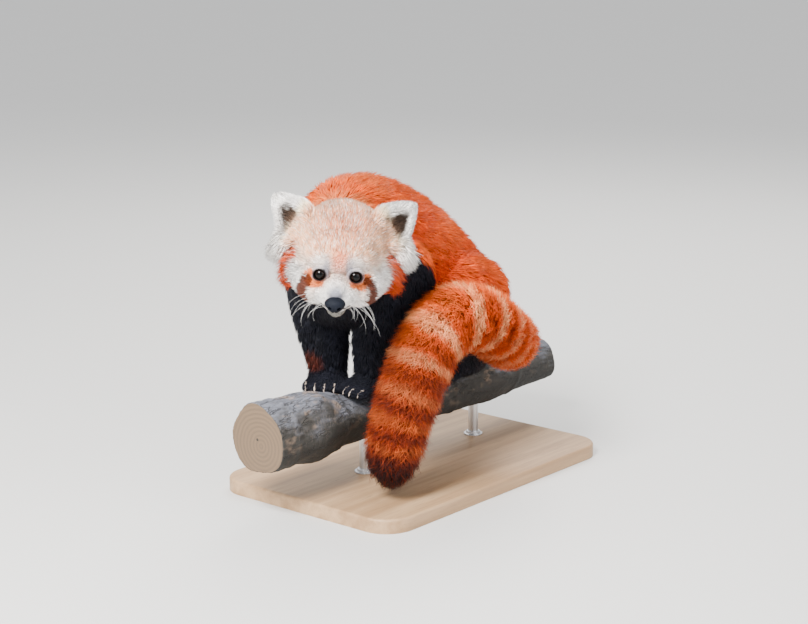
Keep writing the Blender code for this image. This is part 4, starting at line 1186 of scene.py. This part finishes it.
def swept(bm, path, radii, sides):
    """A ring carried along a path and scaled as it goes, closed at both ends."""
    ring = bmesh.ops.create_circle(bm, cap_ends=True, segments=sides, radius=1)["verts"]
    base = [vert.co.copy() for vert in ring]
    for i, (centre, radius) in enumerate(zip(path, radii)):
        along = (path[min(i + 1, len(path) - 1)] - path[max(i - 1, 0)]).normalized()
        turn = along.to_track_quat("Z", "Y").to_matrix()
        if i:
            ring, _ = next_ring(bm, ring)
        for vert, spot in zip(ring, base):
            vert.co = centre + turn @ (spot * radius)
    bmesh.ops.contextual_create(bm, geom=ring)


def claw_paint(wire):
    """Ivory horn with darker, pinker streaks."""
    streak = cloud(wire, 260, 3, stretch=(1, 1, 0.4))
    return {"Base Color": blended(wire, streak, (0.30, 0.22, 0.19), (0.62, 0.53, 0.44)),
            "Roughness": 0.25 + 0.2 * streak}


def build_claws(horn):
    """Five hooked claws on each paw."""
    bm = bmesh.new()
    for centre, bearing, length, width in PAWS.values():
        paw = Frame(centre, bearing)
        for toe in range(5):
            left, forward, up = toe_tip(toe, length, width)
            path, radii = [], []
            for step in range(11):
                share = step / 10
                bend = math.radians(84 * share)
                path.append(paw.at(left, forward - 0.003 + CLAW_BEND * math.sin(bend),
                                   up + 0.0042 - CLAW_BEND * (1 - math.cos(bend))))
                radii.append(0.0018 * (1 - share) ** 0.6 + 0.00012)
            swept(bm, path, radii, 12)
    mesh = from_bmesh("claws", bm)
    mesh.materials.append(horn)
    mesh.shade_smooth()
    shown("claws", mesh, slot="black_coat")


def whisker_paint(wire):
    return {"Roughness": 0.35 + 0.1 * cloud(wire, 300)}


def build_whiskers(bristle):
    """Long white whiskers in rows on the upper lips, drooping as they go out."""
    chance = random.Random(5)
    bm = bmesh.new()
    for side in SIDES.values():
        for row in range(3):
            for place in range(4):
                root = HEAD.at(side * (0.0125 + 0.0022 * place), 0.062 - 0.0055 * place, -0.0240 - 0.0035 * row)
                length = 0.023 + 0.006 * place + chance.uniform(-0.007, 0.010)
                out = HEAD.along(side * (0.8 + 0.20 * place), 0.55 - 0.14 * place, chance.uniform(-0.45, 0.25))
                bend = chance.uniform(0.9, 2.1)
                down = (Vector((0, 0, -1)) + HEAD.along(-side, 0, 0) * chance.uniform(-0.1, 0.5)).normalized()
                path = [root + (out * math.sin(bend * share) + down * (1 - math.cos(bend * share))) * length / bend
                        for share in WHISKER_SHARES]
                swept(bm, path, [WHISKER_RADIUS * (1 - 0.8 * share ** 2) for share in WHISKER_SHARES], 5)
    mesh = from_bmesh("whiskers", bm)
    mesh.materials.append(bristle)
    mesh.shade_smooth()
    shown("whiskers", mesh, slot="white_coat")


# The branch and its stand

def perch_radius(y):
    """The branch's radius: thick in front of the paws, with a knot there, and slimmer behind."""
    thick = 1 / (1 + math.exp((y + 0.028) / 0.012))
    knot = KNOT_RISE * math.exp(-((y + 0.062) / 0.022) ** 2)
    return SLIM_RADIUS + (THICK_RADIUS - SLIM_RADIUS) * thick + knot + 0.0010 * math.sin(31 * y)


def perch_axis(y):
    rise = 0.0045 / (1 + math.exp((y + 0.020) / 0.020))
    return at(0.003 * math.sin(9 * y), y, -0.0330 + rise - 0.008 * y)


def bark_rise(point, y):
    """How far the bark stands out: broad lumps, raised rings and fine cracks along the branch."""
    lump = noise.noise(point * 28)
    ridge = sum(math.exp(-((y - place) / 0.0035) ** 2) for place in (-0.108, -0.026, 0.062, 0.168, 0.288))
    long = Vector((point.x * 520, point.y * 90, point.z * 520))
    return 0.0011 * lump + 0.0011 * ridge + 0.0005 * noise.noise(long) + 0.0004 * noise.noise(point * 260)


def bark_paint(wire):
    """Grey-brown bark with tan patches and dark cracks; bluer and paler on top, partly wear and partly painted sheen,
    and darkened underneath as painted shade.
    """
    patches = cloud(wire, 34, 5)
    fine = cloud(wire, 230, 6, stretch=(1, 0.35, 1), rough=0.65)
    up = wire.node("ShaderNodeNewGeometry", output="Normal")
    above = wire.node("ShaderNodeSeparateXYZ", {}, {"Vector": up}, output=2)
    # Bluer and paler on top: partly wear and partly painted sheen from above.
    wear_and_sheen = (above * 0.7 + patches * 1.2 - 0.55).between(0.15, 0.8)
    bark = blended(wire, fine.between(0.30, 0.70), (0.018, 0.016, 0.013), (0.052, 0.046, 0.039))
    bark = blended(wire, wear_and_sheen * (0.45 + 0.55 * fine.between(0.30, 0.62)), bark, (0.160, 0.170, 0.210))
    tan = cloud(wire, 52, 3, stretch=(1, 0.6, 1)).between(0.56, 0.68)
    bark = blended(wire, tan * 0.55, bark, (0.36, 0.24, 0.16))
    split = cloud(wire, 46, 4, stretch=(1, 0.30, 1), rough=0.6) - 0.5
    cracks = wire.maths("ABSOLUTE", split).between(0.0, 0.022)
    bark = blended(wire, (1 - cracks) * 0.6, bark, (0.018, 0.016, 0.015))
    scratch = cloud(wire, 60, 2, stretch=(1, 7, 1)) - 0.5
    scratches = (1 - wire.maths("ABSOLUTE", scratch).between(0.0, 0.02)) * patches.between(0.42, 0.60)
    bark = blended(wire, scratches * 0.45, bark, (0.26, 0.21, 0.16))
    # Painted shade: the bark darkens to near black where it faces down.
    bark = blended(wire, (0 - above).between(-0.55, 0.40) * 0.92, bark, (0.010, 0.009, 0.007))
    return {"Base Color": bark, "Roughness": 0.72 + 0.2 * fine,
            "Normal": bumped(wire, fine * 0.6 + cracks * 0.8 - scratches * 0.3, 0.9, 0.0016)}


def cut_paint(wire):
    """Sawn end grain: pale rings about the branch's heart."""
    spot = wire.node("ShaderNodeTexCoord", output="Object")
    axis = perch_axis(0.12)
    heart = wire.node("ShaderNodeMapping", {}, {"Vector": spot, "Location": (-axis.x, 0, -axis.z), "Scale": (1, 0, 1)})
    warped = wire.node("ShaderNodeVectorMath", {"operation": "LENGTH"}, {0: heart}, output=1) + cloud(wire, 40) * 0.003
    rings = wire.maths("SINE", warped * 1300)
    return {"Base Color": blended(wire, rings * 0.22 + 0.5, (0.095, 0.060, 0.034), (0.18, 0.120, 0.072)),
            "Roughness": 0.75 + 0.1 * rings, "Normal": bumped(wire, rings, 0.15, 0.0003)}


def build_branch(bark, cut):
    """The branch as rings carried along its length, drawn in to a centre point's small ring at each end."""
    sides, rows = 110, 230
    stations = [(0, shrink) for shrink in (0.04, 0.25, 0.5, 0.75, 0.93, 0.975)]
    stations += [(row, 1.0) for row in range(rows + 1)]
    stations += [(rows, shrink) for shrink in (0.975, 0.93, 0.75, 0.5, 0.25, 0.04)]
    bm = bmesh.new()
    ring = bmesh.ops.create_circle(bm, cap_ends=True, segments=sides, radius=1)["verts"]
    angles = [math.atan2(vert.co.y, vert.co.x) for vert in ring]
    for i, (row, shrink) in enumerate(stations):
        if i:
            ring, walls = next_ring(bm, ring)
            for wall in walls:
                wall.material_index = int(min(shrink, stations[i - 1][1]) < 0.97)
        y = PERCH_FRONT + (PERCH_REAR - PERCH_FRONT) * row / rows
        slack = 0.0012 * (1 if row == 0 else -1) if shrink == 1.0 and row in (0, rows) else 0.0
        centre = perch_axis(y + slack)
        for vert, angle in zip(ring, angles):
            lump = 1 + 0.035 * math.sin(3 * angle + 25 * y) + 0.025 * math.sin(5 * angle - 40 * y)
            out = Vector((math.cos(angle), 0, math.sin(angle)))
            radius = perch_radius(y) * lump
            vert.co = centre + out * shrink * (radius + bark_rise(centre + out * radius, y))
    bmesh.ops.contextual_create(bm, geom=ring)
    mesh = from_bmesh("branch", bm)
    mesh.materials.append(bark)
    mesh.materials.append(cut)
    mesh.shade_smooth()
    mesh.set_sharp_from_angle(angle=math.radians(50))
    shown("branch", mesh, ["perch"], "bark")


def next_ring(bm, ring):
    """Extrudes a ring of corners and gives the new ring, in the same order, and the faces between."""
    edges = [bm.edges.get((ring[i - 1], ring[i])) for i in range(len(ring))]
    made = bmesh.ops.extrude_edge_only(bm, edges=edges)["geom"]
    fresh = {tuple(vert.co): vert for vert in made if isinstance(vert, bmesh.types.BMVert)}
    walls = [face for face in made if isinstance(face, bmesh.types.BMFace)]
    return [fresh[tuple(vert.co)] for vert in ring], walls


def oak_paint(wire):
    """Oiled oak with long grain and fine pores."""
    grain = cloud(wire, 60, 6, stretch=(1.0, 0.05, 1.0), rough=0.6)
    pores = cloud(wire, 900, 2, stretch=(1.0, 0.04, 1.0)).between(0.60, 0.75)
    colour = blended(wire, grain.between(0.3, 0.7), (0.30, 0.175, 0.085), (0.47, 0.30, 0.165))
    return {"Base Color": blended(wire, pores * 0.5, colour, (0.13, 0.075, 0.04)),
            "Roughness": 0.42 + 0.2 * grain, "Normal": bumped(wire, pores, -0.3, 0.0003)}


def steel_paint(wire):
    """Steel brushed round."""
    brushed = cloud(wire, 2400, 3, stretch=(0.05, 0.05, 1.0))
    return {"Roughness": 0.24 + 0.2 * brushed, "Normal": bumped(wire, brushed, 0.15, 0.0001)}


def build_base(oak):
    bm = bmesh.new()
    size = Matrix.Diagonal((BASE_WIDTH, BASE_LENGTH, BASE_THICKNESS, 1))
    bmesh.ops.create_cube(bm, size=1, matrix=Matrix.Translation((0, 0, BASE_THICKNESS / 2)) @ size)
    upright = [e for e in bm.edges if abs(e.verts[0].co.z - e.verts[1].co.z) > BASE_THICKNESS / 2]
    bmesh.ops.bevel(bm, geom=upright, offset=BASE_CORNER, segments=18, profile=0.5, affect="EDGES", material=-1)
    rim = [e for e in bm.edges if all(v.co.z > BASE_THICKNESS * 0.9 for v in e.verts)]
    bmesh.ops.bevel(bm, geom=rim, offset=0.003, segments=5, profile=0.5, affect="EDGES", material=-1)
    mesh = from_bmesh("base", bm)
    mesh.materials.append(oak)
    mesh.shade_smooth()
    mesh.set_sharp_from_angle(angle=math.radians(30))
    shown("base", mesh, ["stand_base"], "stand_wood")


def build_rod(name, y, steel):
    """A rod from the base into the branch, with a small collar at its foot."""
    bm = bmesh.new()
    axis = perch_axis(y)
    top = axis.z - perch_radius(y) + 0.006
    shaft = Matrix.Translation((axis.x, axis.y, (top + BASE_THICKNESS) / 2))
    bmesh.ops.create_cone(bm, cap_ends=True, segments=48, radius1=ROD_RADIUS, radius2=ROD_RADIUS,
                          depth=top - BASE_THICKNESS, matrix=shaft)
    for height, radius, share in ((0.0016, 0.0115, 0.0), (0.0042, 0.0085, 0.6)):
        place = Matrix.Translation((axis.x, axis.y, BASE_THICKNESS + height / 2 + 0.0001))
        made = bmesh.ops.create_cone(bm, cap_ends=True, segments=48, radius1=radius, radius2=radius, depth=height,
                                     matrix=place)["verts"]
        rim = [e for e in {e for v in made for e in v.link_edges} if all(v.co.z > place[2][3] for v in e.verts)]
        bmesh.ops.bevel(bm, geom=rim, offset=0.0005, segments=3, profile=0.5, affect="EDGES", material=-1)
    mesh = from_bmesh(name, bm)
    mesh.materials.append(steel)
    mesh.shade_smooth()
    mesh.set_sharp_from_angle(angle=math.radians(35))
    shown(name, mesh, ["stand_" + name], "stand_steel")


# The studio

def floor_paint(wire):
    return {"Roughness": 0.55 + 0.1 * cloud(wire, 6, 3)}


def build_floor():
    bm = bmesh.new()
    bmesh.ops.create_grid(bm, x_segments=2, y_segments=2, size=14)
    mesh = from_bmesh("floor", bm)
    mesh.materials.append(material("floor", floor_paint, base_color=(0.66, 0.655, 0.64, 1)))
    floor = bpy.data.objects.new("floor", mesh)
    floor.location.z = -0.0002
    bpy.context.scene.collection.objects.link(floor)


def build_camera():
    back = Vector((math.sin(CAMERA_BEARING) * math.cos(CAMERA_RISE),
                   -math.cos(CAMERA_BEARING) * math.cos(CAMERA_RISE), math.sin(CAMERA_RISE)))
    right = Vector((math.cos(CAMERA_BEARING), math.sin(CAMERA_BEARING), 0))
    up = back.cross(right)
    a_pixel = CAMERA_REACH / (LENS / SENSOR * IMAGE_WIDTH)
    data = bpy.data.cameras.new("camera")
    data.lens, data.sensor_width = LENS, SENSOR
    camera = bpy.data.objects.new("camera", data)
    bpy.context.scene.collection.objects.link(camera)
    place = (at(0, 0, 0) + back * CAMERA_REACH - right * (PAWS_PIXEL[0] - IMAGE_WIDTH / 2) * a_pixel
             + up * (PAWS_PIXEL[1] - IMAGE_HEIGHT / 2) * a_pixel)
    camera.matrix_world = Matrix.Translation(place) @ Matrix((right, up, back)).transposed().to_4x4()
    bpy.context.scene.camera = camera
    return camera


def soft_light(name, bearing, rise, reach, size, power, colour=(1, 1, 1)):
    """A square soft light that looks at the animal from a bearing and a height."""
    data = bpy.data.lights.new(name, "AREA")
    data.size, data.energy, data.color = size, power, colour
    light = bpy.data.objects.new(name, data)
    bpy.context.scene.collection.objects.link(light)
    bearing, rise = math.radians(bearing), math.radians(rise)
    way = Vector((math.sin(bearing) * math.cos(rise), -math.cos(bearing) * math.cos(rise), math.sin(rise)))
    light.location = Vector((0, 0, 0.2)) + way * reach
    light.rotation_mode = "QUATERNION"
    light.rotation_quaternion = way.to_track_quat("Z", "Y")


def build_lights():
    soft_light("key", 12, 39, 2.0, 0.7, 122, (1.0, 0.98, 0.95))
    soft_light("fill", 85, 25, 2.4, 1.6, 28, (0.93, 0.96, 1.0))
    soft_light("rim", 205, 45, 2.2, 1.2, 46, (1.0, 0.97, 0.92))
    world = bpy.data.worlds.new("studio")
    bpy.context.scene.world = world
    world.use_nodes = True
    sky = world.node_tree.nodes["Background"]
    sky.inputs["Color"].default_value = (0.93, 0.94, 0.96, 1)
    sky.inputs["Strength"].default_value = 1.15


def paint_skin(obj, skin):
    tint = obj.data.color_attributes.new("tint", "FLOAT_COLOR", "POINT")
    colour = markings(Spot(skin.corners, skin.normals))
    tint.data.foreach_set("color", np.concatenate([colour, np.ones((len(colour), 1))], axis=1).astype(np.float32).ravel())


def build_animal(camera):
    body = combine(body_skin(), [head_skin()], "UNION")
    body.name = body.data.name = "skin"
    flesh = [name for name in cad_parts
             if not name.startswith(("eye", "nose", "perch", "stand"))]
    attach(body, "root")
    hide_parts(*flesh)
    body.data.materials.clear()
    body.data.materials.append(material("undercoat_and_gap_shade", skin_paint, roughness=0.8, specular_ior_level=0.12))
    body.data.shade_smooth()
    skin = Skin(body)
    paint_skin(body, skin)
    grow_coat(skin, material("fur", fur_paint, specular_ior_level=0.2))
    gloss = material("eye", eye_paint, roughness=0.04, specular_ior_level=0.16)
    for name, side in SIDES.items():
        build_eye(name, side, gloss, camera.matrix_world.translation)
    build_nose(material("nose", nose_paint, specular_ior_level=0.10))
    build_claws(material("claw", claw_paint))
    build_whiskers(material("whisker", whisker_paint, base_color=(0.74, 0.73, 0.71, 1)))


build_floor()
view = build_camera()
build_lights()
build_animal(view)
build_branch(material("bark", bark_paint), material("cut_wood", cut_paint))
build_base(material("oak", oak_paint))
build_rod("rod_front", ROD_FRONT_Y, material("steel", steel_paint, metallic=1.0, base_color=(0.62, 0.62, 0.63, 1)))
build_rod("rod_rear", ROD_REAR_Y, bpy.data.materials["steel"])
